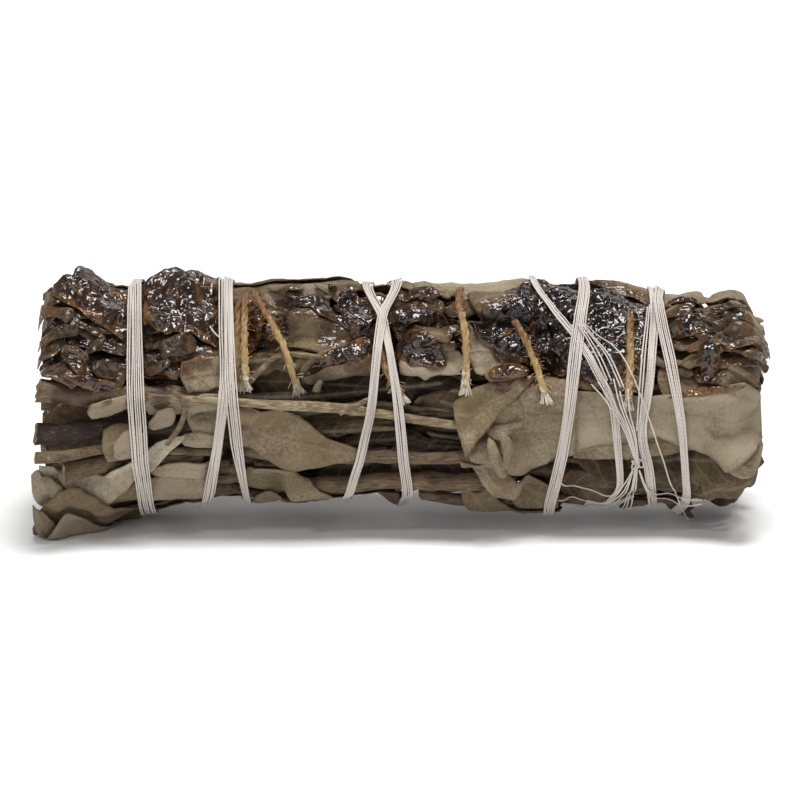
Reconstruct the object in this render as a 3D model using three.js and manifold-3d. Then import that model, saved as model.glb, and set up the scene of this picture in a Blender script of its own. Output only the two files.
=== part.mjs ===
// A dried sage bunch: woody stems packed lengthwise, grey leaves laid round them, poured resin and
// stubs of waxed twine along the top, all bound with cotton thread. Millimetres.
// X runs along the bunch, -Y is its front and +Z is up. A place on the bunch is an x, an angle round
// the axis in degrees (0 at the front, 90 on top, 180 behind) and a radius.
import * as THREE from "three";
import { mergeVertices } from "three/addons/utils/BufferGeometryUtils.js";
import Module from "manifold-3d";

const wasm = await Module();
wasm.setup();
const { degToRad, radToDeg, clamp, lerp, smoothstep } = THREE.MathUtils;

// Driving dimensions
const LENGTH = 104;
const BODY_RADIUS = 15.5;
const GIRTH = { middle: 1.0, taper: 0.115, flare: 0.105 };
const END_DROOP = { left: 1.5, right: 2.4 };
const CLEARANCE = 0.3;
const FOOT_PRESS = 0.7;
const SEED = 12085;

const CORE_STEM_RADIUS = 1.7;
const INNER_RING = { count: 5, pitch: 3.8, radius: 1.75, start: 33, turn: 6 };
const OUTER_RING = { count: 9, pitch: 7.6, radius: 1.75, start: 20, turn: -5 };
const STEM_SIDES = 8;
const STEM_STEP = 13;

const LEAF_THICKNESS = 0.64;
const LEAF_RIPPLE = 0.25;
const LEAF_STEPS = { along: 8, across: 4 };
const SPRIG_LEAF = { places: [-26, 25], length: [43, 47], shortLength: 28, width: [9, 11], arch: [0.5, 0.9] };
const SPRIG_LEAF_STEPS = { along: 6, across: 4 };
const LEAF_BRIDGE = 2.9;
const PETIOLE_RADIUS = 0.8;
const FOOT_THICKNESS = 2.0;

const BAND = { width: 2.3, thickness: 0.45, steps: 30 };
const WAIST = { depth: 1.4, spread: 6.5 };
const STRAND_RADIUS = 0.3;
const KNOT_RADIUS = 1.0;
const TWINE_RADIUS = 0.75;
const RESIN = { edge: 0.65, depth: 1.2, lump: 0.55, bridge: 3.2 };

// Finishes
const finish = (color, roughness) => new THREE.MeshStandardMaterial({ color, roughness, metalness: 0 });
const LEAF = finish(0x9a8b71, 0.9);
const STEM = finish(0x6f5a42, 0.85);
const THREAD = finish(0xe4dfd6, 0.8);
const TWINE = finish(0xb8934f, 0.6);
const RESIN_GLAZE = finish(0x2c1a10, 0.2);

// Ties: where each turn of thread crosses the front, as angle and x. Each closes round the back.
const TIES = {
  tie_left: [
    [[87, -37.4], [15, -36.9], [-75, -35.2], [-180, -36.3]],
  ],
  tie_left_pair: [
    [[87, -24.7], [24, -24.2], [-70, -27.8], [-180, -27.0]],
    [[87, -24.3], [24, -23.8], [-68, -21.5], [-180, -23.6]],
  ],
  tie_middle_cross: [
    [[87, -5.0], [58, -2.7], [9, -0.6], [-50, 1.0], [-180, -3.4]],
    [[87, -0.4], [58, -2.7], [4, -4.2], [-60, -8.1], [-180, -4.6]],
  ],
  tie_right: [
    [[87, 25.7], [45, 24.5], [-1, 23.1], [-65, 20.5], [-180, 24.0]],
    [[85, 18.2], [48, 24.3], [10, 29.5], [-40, 30.6], [-120, 24.0], [-180, 19.0]],
    [[75, 35.4], [19, 34.5], [-7, 33.2], [-30, 34.6], [-75, 35.5], [-180, 35.0]],
    [[75, 35.8], [24, 37.9], [-1, 39.0], [-50, 40.0], [-90, 37.2], [-180, 37.6]],
  ],
};
const TIE_PLACES = [-36.8, -24.2, -2.6, 24, 36.4];

// Stems that lie outside the packed rings, in the order they were laid
const LOOSE_STEMS = [
  { name: "stem_left_thick", x: [-51.4, -24], angle: [11, 9], radius: 1.6 },
  { name: "stem_left_dark", x: [-50.2, -18], angle: [-6, -9], radius: 1.45 },
  { name: "stem_left_short", x: [-47.4, -20], angle: [-27, -22], radius: 1.3 },
  { name: "stem_front_long", x: [-33, 8], angle: [6, -4], radius: 0.85 },
  { name: "stem_front_brown", x: [-19, 14], angle: [-24, -28], radius: 1.3 },
  { name: "stem_front_low", x: [-12, 26], angle: [-44, -42], radius: 1.5 },
  { name: "stem_right_end", x: [27, 51.4], angle: [-29, -34], radius: 1.1 },
];

// Leaves laid over the sprigs, innermost first. Turn is the midrib's slant from the bunch's axis.
const LOOSE_LEAVES = [
  { name: "leaf_left_top", x: -36, angle: 74, length: 27, width: 15, turn: 2, arch: 0.6, fullness: 4 },
  { name: "leaf_left_front", x: -29, angle: 18, length: 23, width: 10, turn: -5, arch: 0.8, fullness: 3 },
  { name: "leaf_left_middle", x: -35, angle: -8, length: 17, width: 7, turn: -8, arch: 0.8, fullness: 2.4 },
  { name: "leaf_middle_low", x: -14, angle: -60, length: 27, width: 9, turn: 4, arch: 0.9, fullness: 2.4 },
  { name: "leaf_middle_smooth", x: -15, angle: -11, length: 29, width: 10, turn: -5, arch: 1.0, fullness: 3 },
  { name: "leaf_left_curl", x: -38, angle: -27, length: 33, width: 8, turn: 33, arch: 0.9, fullness: 2.4 },
  { name: "leaf_left_foot", x: -45, angle: -70, length: 13, width: 12, turn: 3, arch: 0.8, fullness: 3,
    thickness: FOOT_THICKNESS },
  { name: "leaf_top_left", x: -18, angle: 64, length: 19, width: 10, turn: 16, arch: 0.8, fullness: 2.6 },
  { name: "leaf_top_middle", x: -1, angle: 42, length: 34, width: 13, turn: -6, arch: 0.9, fullness: 2.6 },
  { name: "leaf_top_right", x: 14, angle: 68, length: 19, width: 10, turn: -24, arch: 0.9, fullness: 2.4 },
  { name: "leaf_right_under", x: 28, angle: -36, length: 27, width: 10, turn: 7, arch: 0.6, fullness: 2.6 },
  { name: "leaf_right_strip", x: 17, angle: -50, length: 30, width: 9, turn: -11, arch: 1.2, fullness: 2.6 },
  { name: "leaf_right_foot", x: 44.4, angle: -89, length: 11, width: 12, turn: -4, arch: 5.6, fullness: 3,
    thickness: FOOT_THICKNESS },
  { name: "leaf_end_top", x: 42, angle: 70, length: 18, width: 13, turn: 3, arch: 0.8, fullness: 4 },
  { name: "leaf_end_front", x: 42, angle: 34, length: 17, width: 8, turn: 2, arch: 1.0, fullness: 4 },
  { name: "leaf_right_wrap", x: 33, angle: -2, length: 34, width: 13, turn: -3, arch: 1.0, fullness: 4 },
  { name: "leaf_right_fold", x: 18, angle: -6, length: 24, width: 13, turn: 8, arch: 0.9, fullness: 3 },
  { name: "leaf_right_collar", x: 11.5, angle: 4, length: 17, width: 8, turn: 42, arch: 0.9, fullness: 2.6 },
];
const BACK_LEAVES = { count: 7, from: 106, to: 258, length: [34, 44], width: [12, 15], arch: [0.7, 1.2] };

// Resin: its lower and upper edge round the bunch, as angles at stations along x
const RESIN_POURS = {
  resin_left: { x: [-50, -44, -38, -32, -25.5], low: [22, 14, 20, 24, 30], high: [118, 126, 120, 124, 112] },
  resin_middle: { x: [-16, -11, -5, 1, 8.5], low: [50, 46, 28, 34, 47], high: [60, 68, 84, 74, 58] },
  resin_right: { x: [12, 17, 23, 29, 35], low: [42, 26, 19, 18, 30], high: [66, 104, 120, 116, 100] },
  resin_end: { x: [36.5, 40, 44, 48.5], low: [54, 44, 47, 56], high: [84, 92, 88, 76] },
};

// Stubs of twine set in the resin: from the top of the bunch down its front
const TWINE_STUBS = {
  twine_left: [
    { x: [-21.6, -22.2], angle: [92, 18] },
    { x: [-21.2, -14.6], angle: [86, 16] },
  ],
  twine_middle: [{ x: [-2.6, 0.4], angle: [42, 10] }],
  twine_centre: [{ x: [7.6, 8.8], angle: [80, 16] }],
  twine_right_slant: [{ x: [14.6, 20.0], angle: [52, 11] }],
  twine_right_upright: [{ x: [31.8, 31.6], angle: [58, 8] }],
};

let seedState = SEED;
function random(low, high) {
  seedState = (seedState * 1664525 + 1013904223) % 4294967296;
  return lerp(low, high, seedState / 4294967296);
}

// Bunch space: every piece is drawn on a straight bunch, then bent to the true one,
// which is thicker at its left end and drawn in under each tie.
function straight(x, angle, radius) {
  const turn = degToRad(angle);
  return new THREE.Vector3(x, -radius * Math.cos(turn), radius * Math.sin(turn));
}

const wrapped = (angle) => ((angle % 360) + 360) % 360;

function angleOf(point) {
  return wrapped(radToDeg(Math.atan2(point.z, -point.y)));
}

function trueRadius(x, radius) {
  const along = x / (LENGTH / 2);
  const girth = GIRTH.middle - GIRTH.taper * along + GIRTH.flare * along * along;
  const drawnIn = TIE_PLACES.reduce((sum, tie) => sum + Math.exp(-(((x - tie) / WAIST.spread) ** 2)), 0);
  return radius * girth - WAIST.depth * drawnIn * (radius / BODY_RADIUS) ** 2;
}

function bent(point) {
  const radius = Math.hypot(point.y, point.z);
  const scale = radius > 0 ? trueRadius(point.x, radius) / radius : 1;
  return new THREE.Vector3(point.x, point.y * scale, point.z * scale);
}

// The outside of everything laid so far, as a radius at each x and angle
const GRID = { x: 1, angle: 3, columns: 117, rows: 120 };

class Outside {
  constructor() {
    this.radius = new Float32Array(GRID.columns * GRID.rows);
  }

  raise(point) {
    const column = (point.x + ((GRID.columns - 1) / 2) * GRID.x) / GRID.x;
    const row = angleOf(point) / GRID.angle;
    const radius = Math.hypot(point.y, point.z);
    for (const c of [Math.floor(column), Math.ceil(column)]) {
      for (const r of [Math.floor(row), Math.ceil(row)]) {
        const cell = clamp(c, 0, GRID.columns - 1) * GRID.rows + (r % GRID.rows);
        this.radius[cell] = Math.max(this.radius[cell], radius);
      }
    }
  }

  // Raises the grid to a lofted piece's faces.
  cover(rings, closed = false) {
    const fine = 6;
    const last = closed ? rings.length : rings.length - 1;
    for (let i = 0; i < last; i++) {
      const here = rings[i];
      const next = rings[(i + 1) % rings.length];
      for (let j = 0; j < here.length; j++) {
        const k = (j + 1) % here.length;
        for (let step = 0; step < (fine + 1) ** 2; step++) {
          const along = Math.floor(step / (fine + 1)) / fine;
          const across = (step % (fine + 1)) / fine;
          const near = here[j].clone().lerp(here[k], across);
          const far = next[j].clone().lerp(next[k], across);
          this.raise(near.lerp(far, along));
        }
      }
    }
  }

  // The ground that a stiff piece lies on: the grid's highest within reach, then averaged over it.
  ground(reach) {
    const spanX = Math.ceil(reach / GRID.x);
    const spanAngle = Math.ceil(radToDeg(reach / BODY_RADIUS) / GRID.angle);
    const filter = (values, stepX, stepAngle, span, combine) => {
      const result = new Float32Array(values.length);
      for (let c = 0; c < GRID.columns; c++) {
        for (let r = 0; r < GRID.rows; r++) {
          const found = [];
          for (let n = -span; n <= span; n++) {
            const column = clamp(c + n * stepX, 0, GRID.columns - 1);
            const row = (r + n * stepAngle + GRID.rows) % GRID.rows;
            found.push(values[column * GRID.rows + row]);
          }
          result[c * GRID.rows + r] = combine(found);
        }
      }
      return result;
    };
    const highest = (found) => Math.max(...found);
    const mean = (found) => found.reduce((sum, value) => sum + value, 0) / found.length;
    let values = filter(this.radius, 1, 0, spanX, highest);
    values = filter(values, 0, 1, spanAngle, highest);
    values = filter(values, 1, 0, spanX - 1, mean);
    values = filter(values, 0, 1, spanAngle - 1, mean);
    return (x, angle) => {
      const column = clamp(x / GRID.x + (GRID.columns - 1) / 2, 0, GRID.columns - 1.001);
      const row = wrapped(angle) / GRID.angle;
      const c = Math.floor(column);
      const r = Math.floor(row);
      const at = (dc, dr) => values[(c + dc) * GRID.rows + ((r + dr) % GRID.rows)];
      const low = lerp(at(0, 0), at(0, 1), row - r);
      const high = lerp(at(1, 0), at(1, 1), row - r);
      return lerp(low, high, column - c);
    };
  }
}
const outside = new Outside();
const bentOutside = new Outside();

function lay(rings) {
  outside.cover(rings);
  bentOutside.cover(rings.map((ring) => ring.map(bent)));
}

// A closed body lofted through rings of equal, even count. Point i of a ring faces point count-1-i,
// and quads are split alike on the two faces, so that a thin blade never crosses itself.
function loft(rings, closed = false) {
  const count = rings[0].length;
  const half = count / 2;
  const index = [];
  const quad = (a, b, c, d, flip) => {
    if (flip) {
      index.push(a, b, d, b, c, d);
    } else {
      index.push(a, b, c, a, c, d);
    }
  };
  const last = closed ? rings.length : rings.length - 1;
  for (let i = 0; i < last; i++) {
    const here = i * count;
    const next = ((i + 1) % rings.length) * count;
    for (let j = 0; j < count; j++) {
      const k = (j + 1) % count;
      quad(here + j, next + j, next + k, here + k, j >= half);
    }
  }
  if (!closed) {
    const end = (rings.length - 1) * count;
    for (let j = 0; j < half - 1; j++) {
      quad(j, j + 1, count - 2 - j, count - 1 - j, false);
      quad(end + j, end + count - 1 - j, end + count - 2 - j, end + j + 1, false);
    }
  }
  const geometry = new THREE.BufferGeometry();
  geometry.setFromPoints(rings.flat());
  geometry.setIndex(index);
  return facingOut(geometry);
}

function facingOut(geometry) {
  const points = geometry.getAttribute("position");
  const [a, b, c] = [new THREE.Vector3(), new THREE.Vector3(), new THREE.Vector3()];
  const index = geometry.index.array;
  let volume = 0;
  for (let i = 0; i < index.length; i += 3) {
    a.fromBufferAttribute(points, index[i]);
    b.fromBufferAttribute(points, index[i + 1]);
    c.fromBufferAttribute(points, index[i + 2]);
    volume += a.dot(b.cross(c)) / 6;
  }
  if (volume < 0) {
    geometry.setIndex(Array.from(index).reverse());
  }
  return geometry;
}

// Joins and cuts
function solidOf(geometry) {
  const bare = geometry.clone();
  bare.deleteAttribute("normal");
  bare.deleteAttribute("uv");
  const merged = mergeVertices(bare, 1e-4);
  const vertProperties = merged.getAttribute("position").array;
  const triVerts = new Uint32Array(merged.index.array);
  return new wasm.Manifold(new wasm.Mesh({ numProp: 3, vertProperties, triVerts }));
}

function geometryOf(solid) {
  const mesh = solid.getMesh();
  const geometry = new THREE.BufferGeometry();
  geometry.setAttribute("position", new THREE.BufferAttribute(mesh.vertProperties, 3));
  geometry.setIndex(new THREE.BufferAttribute(mesh.triVerts, 1));
  return geometry;
}

function joined(geometries) {
  return geometryOf(geometries.map(solidOf).reduce((whole, solid) => whole.add(solid)));
}

const bunch = new THREE.Group();
function addPiece(name, geometry, material) {
  const mesh = new THREE.Mesh(geometry, material);
  mesh.name = name;
  bunch.add(mesh);
}

const bentLoft = (rings) => loft(rings.map((ring) => ring.map(bent)));

function outwardAt(point) {
  const away = new THREE.Vector3(0, point.y, point.z);
  return away.length() > 1 ? away.normalize() : new THREE.Vector3(0, 0, 1);
}

// Round stock along a path, its rings square to the path
function tubeRings(path, radiusAt, sides) {
  return path.map((point, i) => {
    const ahead = path[Math.min(i + 1, path.length - 1)];
    const behind = path[Math.max(i - 1, 0)];
    const tangent = ahead.clone().sub(behind).normalize();
    const side = tangent.clone().cross(outwardAt(point)).normalize();
    const up = side.clone().cross(tangent);
    const radius = radiusAt(i / (path.length - 1));
    return Array.from({ length: sides }, (_, j) => {
      const turn = ((j + 0.5) / sides) * 2 * Math.PI;
      const across = side.clone().multiplyScalar(radius * Math.cos(turn));
      return point.clone().add(across).addScaledVector(up, radius * Math.sin(turn));
    });
  });
}

// Stems packed lengthwise: one in the middle, a ring round it, and a ring of leafy sprigs
function stemRings(x, angleAt, pitchAt, radius) {
  const steps = Math.max(3, Math.round((x[1] - x[0]) / STEM_STEP));
  const path = Array.from({ length: steps + 1 }, (_, i) => {
    const here = lerp(x[0], x[1], i / steps);
    return straight(here, angleAt(i / steps), pitchAt(here, angleAt(i / steps)));
  });
  const knuckle = random(0, 6);
  return tubeRings(path, (t) => radius * (0.94 + 0.06 * Math.sin(knuckle + 9 * t)), STEM_SIDES);
}

function cutEnds() {
  return [-LENGTH / 2 + random(0.6, 5), LENGTH / 2 - random(0.8, 6)];
}

function addCoreStems() {
  const rings = [stemRings(cutEnds(), () => 0, () => 0, CORE_STEM_RADIUS * 0.95)];
  for (let i = 0; i < INNER_RING.count; i++) {
    const angle = (360 / INNER_RING.count) * i + INNER_RING.start;
    const angleAt = (t) => angle + INNER_RING.turn * (t - 0.5);
    rings.push(stemRings(cutEnds(), angleAt, () => INNER_RING.pitch, INNER_RING.radius));
  }
  rings.forEach((ring, i) => addPiece(`stem_core_${i + 1}`, bentLoft(ring), STEM));
}

// Leaves
function leafPlace(leaf, u, v) {
  const fromMiddle = Math.abs(2 * u - 1);
  const edge = Math.max(0.14, (1 - fromMiddle ** leaf.fullness) ** 0.6);
  const nibbled = 1 + 0.07 * Math.sin(16 * u + leaf.x);
  const along = (u - 0.5) * leaf.length;
  const across = (v * leaf.width * edge * nibbled) / 2;
  const turn = degToRad(leaf.turn);
  const arc = along * Math.sin(turn) + across * Math.cos(turn);
  const x = leaf.x + along * Math.cos(turn) - across * Math.sin(turn);
  return { x, angle: leaf.angle + radToDeg(arc / BODY_RADIUS) };
}

function leafRings(leaf, { along, across } = LEAF_STEPS) {
  const ground = outside.ground(LEAF_BRIDGE);
  const blade = (u, v, thickness) => {
    const { x, angle } = leafPlace(leaf, u, v);
    const arch = leaf.arch * (1 - v * v) * Math.sin(Math.PI * u) ** 0.6;
    const ripple = LEAF_RIPPLE * (0.5 + 0.5 * Math.sin(9 * u + 4 * v + leaf.angle));
    return straight(x, angle, ground(x, angle) + CLEARANCE + arch + ripple + thickness);
  };
  return Array.from({ length: along + 1 }, (_, i) => {
    const stations = Array.from({ length: across + 1 }, (_, j) => (2 * j) / across - 1);
    const outer = stations.map((v) => blade(i / along, v, leaf.thickness ?? LEAF_THICKNESS));
    const inner = stations.map((v) => blade(i / along, v, 0)).reverse();
    return [...outer, ...inner];
  });
}

// A sprig's own leaves lie along its stem, each on a short stalk that grows out of the stem. A front
// sprig has only one, at the end of the bunch, which leaves the hollow in the middle open.
function sprigLeaves(angle) {
  const end = { 20: 34, 340: 32 }[angle];
  const places = end ? [end] : SPRIG_LEAF.places.map((x) => x + random(-2, 2));
  return places.map((x) => ({
    x,
    angle: angle + random(-4, 4),
    length: end ? SPRIG_LEAF.shortLength : random(...SPRIG_LEAF.length),
    width: random(...SPRIG_LEAF.width),
    turn: random(-4, 4),
    arch: random(...SPRIG_LEAF.arch),
    fullness: 3,
  }));
}

function stalk(leaf, leafRing, stemAngle) {
  const { across } = SPRIG_LEAF_STEPS;
  const under = leafRing[2 * across + 1 - across / 2];
  const top = under.clone().addScaledVector(outwardAt(under), LEAF_THICKNESS * 0.7);
  const root = straight(leaf.x - leaf.length / 2, stemAngle, OUTER_RING.pitch);
  const path = [0, 0.5, 1].map((t) => root.clone().lerp(top, t));
  return tubeRings(path, (t) => PETIOLE_RADIUS * (1 - 0.35 * t), 6);
}

function addSprigs() {
  const stems = Array.from({ length: OUTER_RING.count }, (_, i) => {
    const angle = (360 / OUTER_RING.count) * i + OUTER_RING.start;
    const angleAt = (t) => angle + OUTER_RING.turn * (t - 0.5);
    const radius = OUTER_RING.radius * random(0.88, 1);
    const rings = stemRings(cutEnds(), angleAt, () => OUTER_RING.pitch, radius);
    lay(rings);
    return { angle, rings };
  });
  stems.forEach(({ angle, rings }, i) => {
    const bodies = [bentLoft(rings)];
    for (const leaf of sprigLeaves(angle)) {
      const blade = leafRings(leaf, SPRIG_LEAF_STEPS);
      lay(blade);
      bodies.push(bentLoft(blade), bentLoft(stalk(leaf, blade[1], angle)));
    }
    addPiece(`sprig_${i + 1}`, joined(bodies), LEAF);
  });
}

function addLooseStems() {
  for (const { name, x, angle, radius } of LOOSE_STEMS) {
    const ground = outside.ground(radius + 1.2);
    const lying = (here, turn) => ground(here, turn) + CLEARANCE + radius;
    const rings = stemRings(x, (t) => lerp(angle[0], angle[1], t), lying, radius);
    lay(rings);
    addPiece(name, bentLoft(rings), STEM);
  }
}

function backLeaves() {
  return Array.from({ length: BACK_LEAVES.count }, (_, i) => ({
    name: `leaf_back_${i + 1}`,
    x: (i % 2 ? 24 : -25) + random(-3, 3),
    angle: lerp(BACK_LEAVES.from, BACK_LEAVES.to, i / (BACK_LEAVES.count - 1)),
    length: random(...BACK_LEAVES.length),
    width: random(...BACK_LEAVES.width),
    turn: random(-9, 9),
    arch: random(...BACK_LEAVES.arch),
    fullness: 3,
  }));
}

function addLooseLeaves() {
  for (const leaf of [...backLeaves(), ...LOOSE_LEAVES]) {
    const rings = leafRings(leaf);
    lay(rings);
    addPiece(leaf.name, bentLoft(rings), LEAF);
  }
}

// A smooth curve through values at rising positions
function curveThrough(positions, values) {
  const interpolant = new THREE.CubicInterpolant(Float32Array.from(positions), Float32Array.from(values), 1);
  return (position) => interpolant.evaluate(position)[0];
}

// Poured resin: a crust with rounded edges, swollen in lumps and run into ridges along the bunch
function resinRings({ x, low, high }) {
  const ground = outside.ground(RESIN.bridge);
  const lowEdge = curveThrough(x, low);
  const highEdge = curveThrough(x, high);
  const steps = { along: 10, across: 8 };
  const crust = (u, v, depth) => {
    const here = lerp(x[0], x[x.length - 1], u);
    const angle = lerp(lowEdge(here), highEdge(here), v);
    const dome = Math.sqrt((1 - (2 * v - 1) ** 4) * (1 - (2 * u - 1) ** 6));
    const lumps = RESIN.lump * (1 + Math.sin(0.9 * here + 0.11 * angle) * Math.cos(0.19 * angle));
    const thickness = RESIN.edge + dome * (RESIN.depth * 0.5 + lumps);
    return straight(here, angle, ground(here, angle) + CLEARANCE + depth * thickness);
  };
  return Array.from({ length: steps.along + 1 }, (_, i) => {
    const stations = Array.from({ length: steps.across + 1 }, (_, j) => j / steps.across);
    const outer = stations.map((v) => crust(i / steps.along, v, 1));
    const inner = stations.map((v) => crust(i / steps.along, v, 0)).reverse();
    return [...outer, ...inner];
  });
}

function addResin() {
  for (const [name, pour] of Object.entries(RESIN_POURS)) {
    const rings = resinRings(pour);
    lay(rings);
    addPiece(name, bentLoft(rings), RESIN_GLAZE);
  }
}

// A stub of twine lies on the resin, hangs stiffly past its edge and flares at the cut end.
function addTwineStubs() {
  const steps = 9;
  const mostDrop = 0.25;
  for (const [name, strands] of Object.entries(TWINE_STUBS)) {
    const ground = outside.ground(2);
    const bodies = strands.map(({ x, angle }) => {
      let height = 0;
      const path = Array.from({ length: steps + 1 }, (_, i) => {
        const here = lerp(x[0], x[1], i / steps);
        const turn = lerp(angle[0], angle[1], i / steps);
        height = Math.max(ground(here, turn) + CLEARANCE + TWINE_RADIUS * 1.4, height - mostDrop);
        return straight(here, turn, height);
      });
      return tubeRings(path, (t) => TWINE_RADIUS * (1 + 0.35 * smoothstep(t, 0.75, 1)), 6);
    });
    bodies.forEach(lay);
    addPiece(name, joined(bodies.map(bentLoft)), TWINE);
  }
}

// A turn of thread is taut: where the bunch falls away it bridges the hollow in a straight line.
function tautRadii(radii) {
  const count = radii.length;
  const step = (2 * Math.PI) / count;
  const longestBridge = 28;
  return radii.map((radius, k) => {
    let reach = radius;
    for (let back = 1; back < longestBridge; back++) {
      for (let ahead = 1; ahead < longestBridge; ahead++) {
        const r1 = radii[(k - back + count) % count];
        const r2 = radii[(k + ahead) % count];
        const spread = r1 * Math.sin(back * step) + r2 * Math.sin(ahead * step);
        reach = Math.max(reach, (r1 * r2 * Math.sin((back + ahead) * step)) / spread);
      }
    }
    return reach;
  });
}

// The line that a turn of thread takes: its x and its true radius at any angle
function tieLine(route) {
  const sorted = [...route].sort((a, b) => a[0] - b[0]);
  const around = [-360, 0, 360].flatMap((turn) => sorted.map(([angle, x]) => [angle + turn, x]));
  const xAt = curveThrough(around.map((point) => point[0]), around.map((point) => point[1]));
  const ground = bentOutside.ground(BAND.width / 2);
  const angles = Array.from({ length: GRID.rows }, (_, i) => i * GRID.angle - 180);
  const radii = tautRadii(angles.map((angle) => ground(xAt(angle), angle) + CLEARANCE));
  const near = [-2, -1, 0, 1, 2];
  const widest = radii.map((_, i) => Math.max(...near.map((n) => radii[(i + n + GRID.rows) % GRID.rows])));
  return (angle) => {
    const fromBack = wrapped(angle + 180);
    const i = Math.floor(fromBack / GRID.angle);
    const radius = lerp(widest[i], widest[(i + 1) % GRID.rows], fromBack / GRID.angle - i);
    return straight(xAt(fromBack - 180), angle, radius);
  };
}

function bandGeometry(line) {
  const rings = Array.from({ length: BAND.steps }, (_, i) => {
    const angle = (360 / BAND.steps) * i;
    const point = line(angle);
    const tangent = line(angle + 2).sub(line(angle - 2)).normalize();
    const side = tangent.clone().cross(outwardAt(point)).normalize();
    const inner = [-0.5, 0.5].map((share) => point.clone().addScaledVector(side, share * BAND.width));
    const outer = inner.map((corner) => corner.clone().addScaledVector(outwardAt(point), BAND.thickness));
    return [...outer, ...inner.reverse()];
  });
  return loft(rings, true);
}

// Loose ends of the right-hand tie: a knot, two cut tails above it, and two loops that run below it
// to other turns of the thread
const KNOT = { turn: 2, angle: -25 };
const LOOSE_ENDS = [
  { route: [[33, -20], [31, 2], [27.4, 17]] },
  { route: [[33, -20], [32, 4], [29.6, 18]] },
  { route: [[32.5, -27], [29.4, -42], [25.0, -47]], joins: { turn: 0, angle: -42 } },
  { route: [[33.4, -28], [36.4, -43], [38.4, -46]], joins: { turn: 3, angle: -42 } },
];

function looseEnds(turns) {
  const knot = turns[KNOT.turn](KNOT.angle);
  const centre = knot.clone().addScaledVector(outwardAt(knot), BAND.thickness + KNOT_RADIUS * 0.5);
  const ball = new THREE.IcosahedronGeometry(KNOT_RADIUS, 1).translate(centre.x, centre.y, centre.z);
  const onKnot = Math.hypot(knot.y, knot.z) + BAND.thickness;
  const ground = bentOutside.ground(1.5);
  const bodies = [ball];
  for (const { route, joins } of LOOSE_ENDS) {
    const points = [centre];
    for (const [x, angle] of route) {
      const lying = ground(x, angle) + CLEARANCE + BAND.thickness + STRAND_RADIUS;
      points.push(straight(x, angle, Math.max(lying, onKnot)));
    }
    if (joins) {
      const end = turns[joins.turn](joins.angle);
      points.push(end.addScaledVector(outwardAt(end), BAND.thickness * 0.8));
    }
    const bow = new THREE.CatmullRomCurve3(points);
    bodies.push(loft(tubeRings(bow.getPoints(8), () => STRAND_RADIUS, 6)));
  }
  return bodies;
}

function addTies() {
  for (const [name, routes] of Object.entries(TIES)) {
    const turns = routes.map(tieLine);
    const bodies = turns.map(bandGeometry);
    if (name === "tie_right") {
      bodies.push(...looseEnds(turns));
    }
    addPiece(name, joined(bodies), THREAD);
  }
}

// Its own weight lets both ends of the bunch hang a little below its middle.
function droopEnds() {
  for (const mesh of bunch.children) {
    const points = mesh.geometry.getAttribute("position");
    for (let i = 0; i < points.count; i++) {
      const along = points.getX(i) / (LENGTH / 2);
      const droop = along < 0 ? END_DROOP.left : END_DROOP.right;
      points.setZ(i, points.getZ(i) - droop * along * along);
    }
  }
}

// The bunch rests where its lowest leaves are pressed flat.
function pressFlat() {
  const boxOf = (mesh) => new THREE.Box3().setFromBufferAttribute(mesh.geometry.getAttribute("position"));
  const floor = Math.min(...bunch.children.map((mesh) => boxOf(mesh).min.z)) + FOOT_PRESS;
  const depth = 10;
  const below = solidOf(new THREE.BoxGeometry(2 * LENGTH, LENGTH, depth).translate(0, 0, floor - depth / 2));
  for (const mesh of bunch.children) {
    if (boxOf(mesh).min.z < floor) {
      mesh.geometry = geometryOf(solidOf(mesh.geometry).subtract(below));
    }
  }
  const box = new THREE.Box3();
  bunch.children.forEach((mesh) => box.union(boxOf(mesh)));
  const centre = box.getCenter(new THREE.Vector3());
  bunch.position.set(-centre.x, -centre.y, -floor);
}

addCoreStems();
addSprigs();
addLooseStems();
addLooseLeaves();
addResin();
addTwineStubs();
addTies();
droopEnds();
pressFlat();

export default bunch;
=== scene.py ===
# %% [markdown]
# # A dried sage bunch
# A hand-length bundle of dried sage. Woody stems run through the middle, felted grey leaves are
# pressed around them, dark resin is poured over the top, stubs of soaked twine stick out of it,
# and white cotton thread ties the bunch in five places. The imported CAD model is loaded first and
# stays as it is: each piece made below takes the place of one CAD node, in the same metres.

# %% Load the frame
import itertools
import math

import bpy
import numpy as np
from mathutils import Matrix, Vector


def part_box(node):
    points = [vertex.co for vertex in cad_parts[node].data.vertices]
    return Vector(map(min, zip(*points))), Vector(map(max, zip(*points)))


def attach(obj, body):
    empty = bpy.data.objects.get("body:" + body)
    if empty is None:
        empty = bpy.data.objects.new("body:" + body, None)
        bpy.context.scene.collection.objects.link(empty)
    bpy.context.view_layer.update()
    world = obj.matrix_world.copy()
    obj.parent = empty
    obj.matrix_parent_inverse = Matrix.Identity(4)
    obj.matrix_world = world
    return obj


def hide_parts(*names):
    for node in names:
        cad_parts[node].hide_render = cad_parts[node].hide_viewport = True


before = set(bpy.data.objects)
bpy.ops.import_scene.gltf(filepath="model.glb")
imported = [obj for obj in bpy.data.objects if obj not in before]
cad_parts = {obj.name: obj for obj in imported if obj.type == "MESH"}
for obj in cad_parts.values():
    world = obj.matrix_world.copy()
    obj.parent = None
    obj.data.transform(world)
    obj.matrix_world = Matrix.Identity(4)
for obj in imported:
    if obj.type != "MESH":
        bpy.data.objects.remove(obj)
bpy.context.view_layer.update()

# %% [markdown]
# ## Bunch space
# Round a bundle it is easier to think in three numbers: how far along (x, in millimetres), how
# far round (an angle, 0 at the front and 90 on top) and how far out (a radius). All shapes are
# laid out on a straight cylinder in these numbers. One last function, settle, narrows the
# bundle at its ties, widens its left end, lets both ends droop and moves it into the CAD frame.

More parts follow.
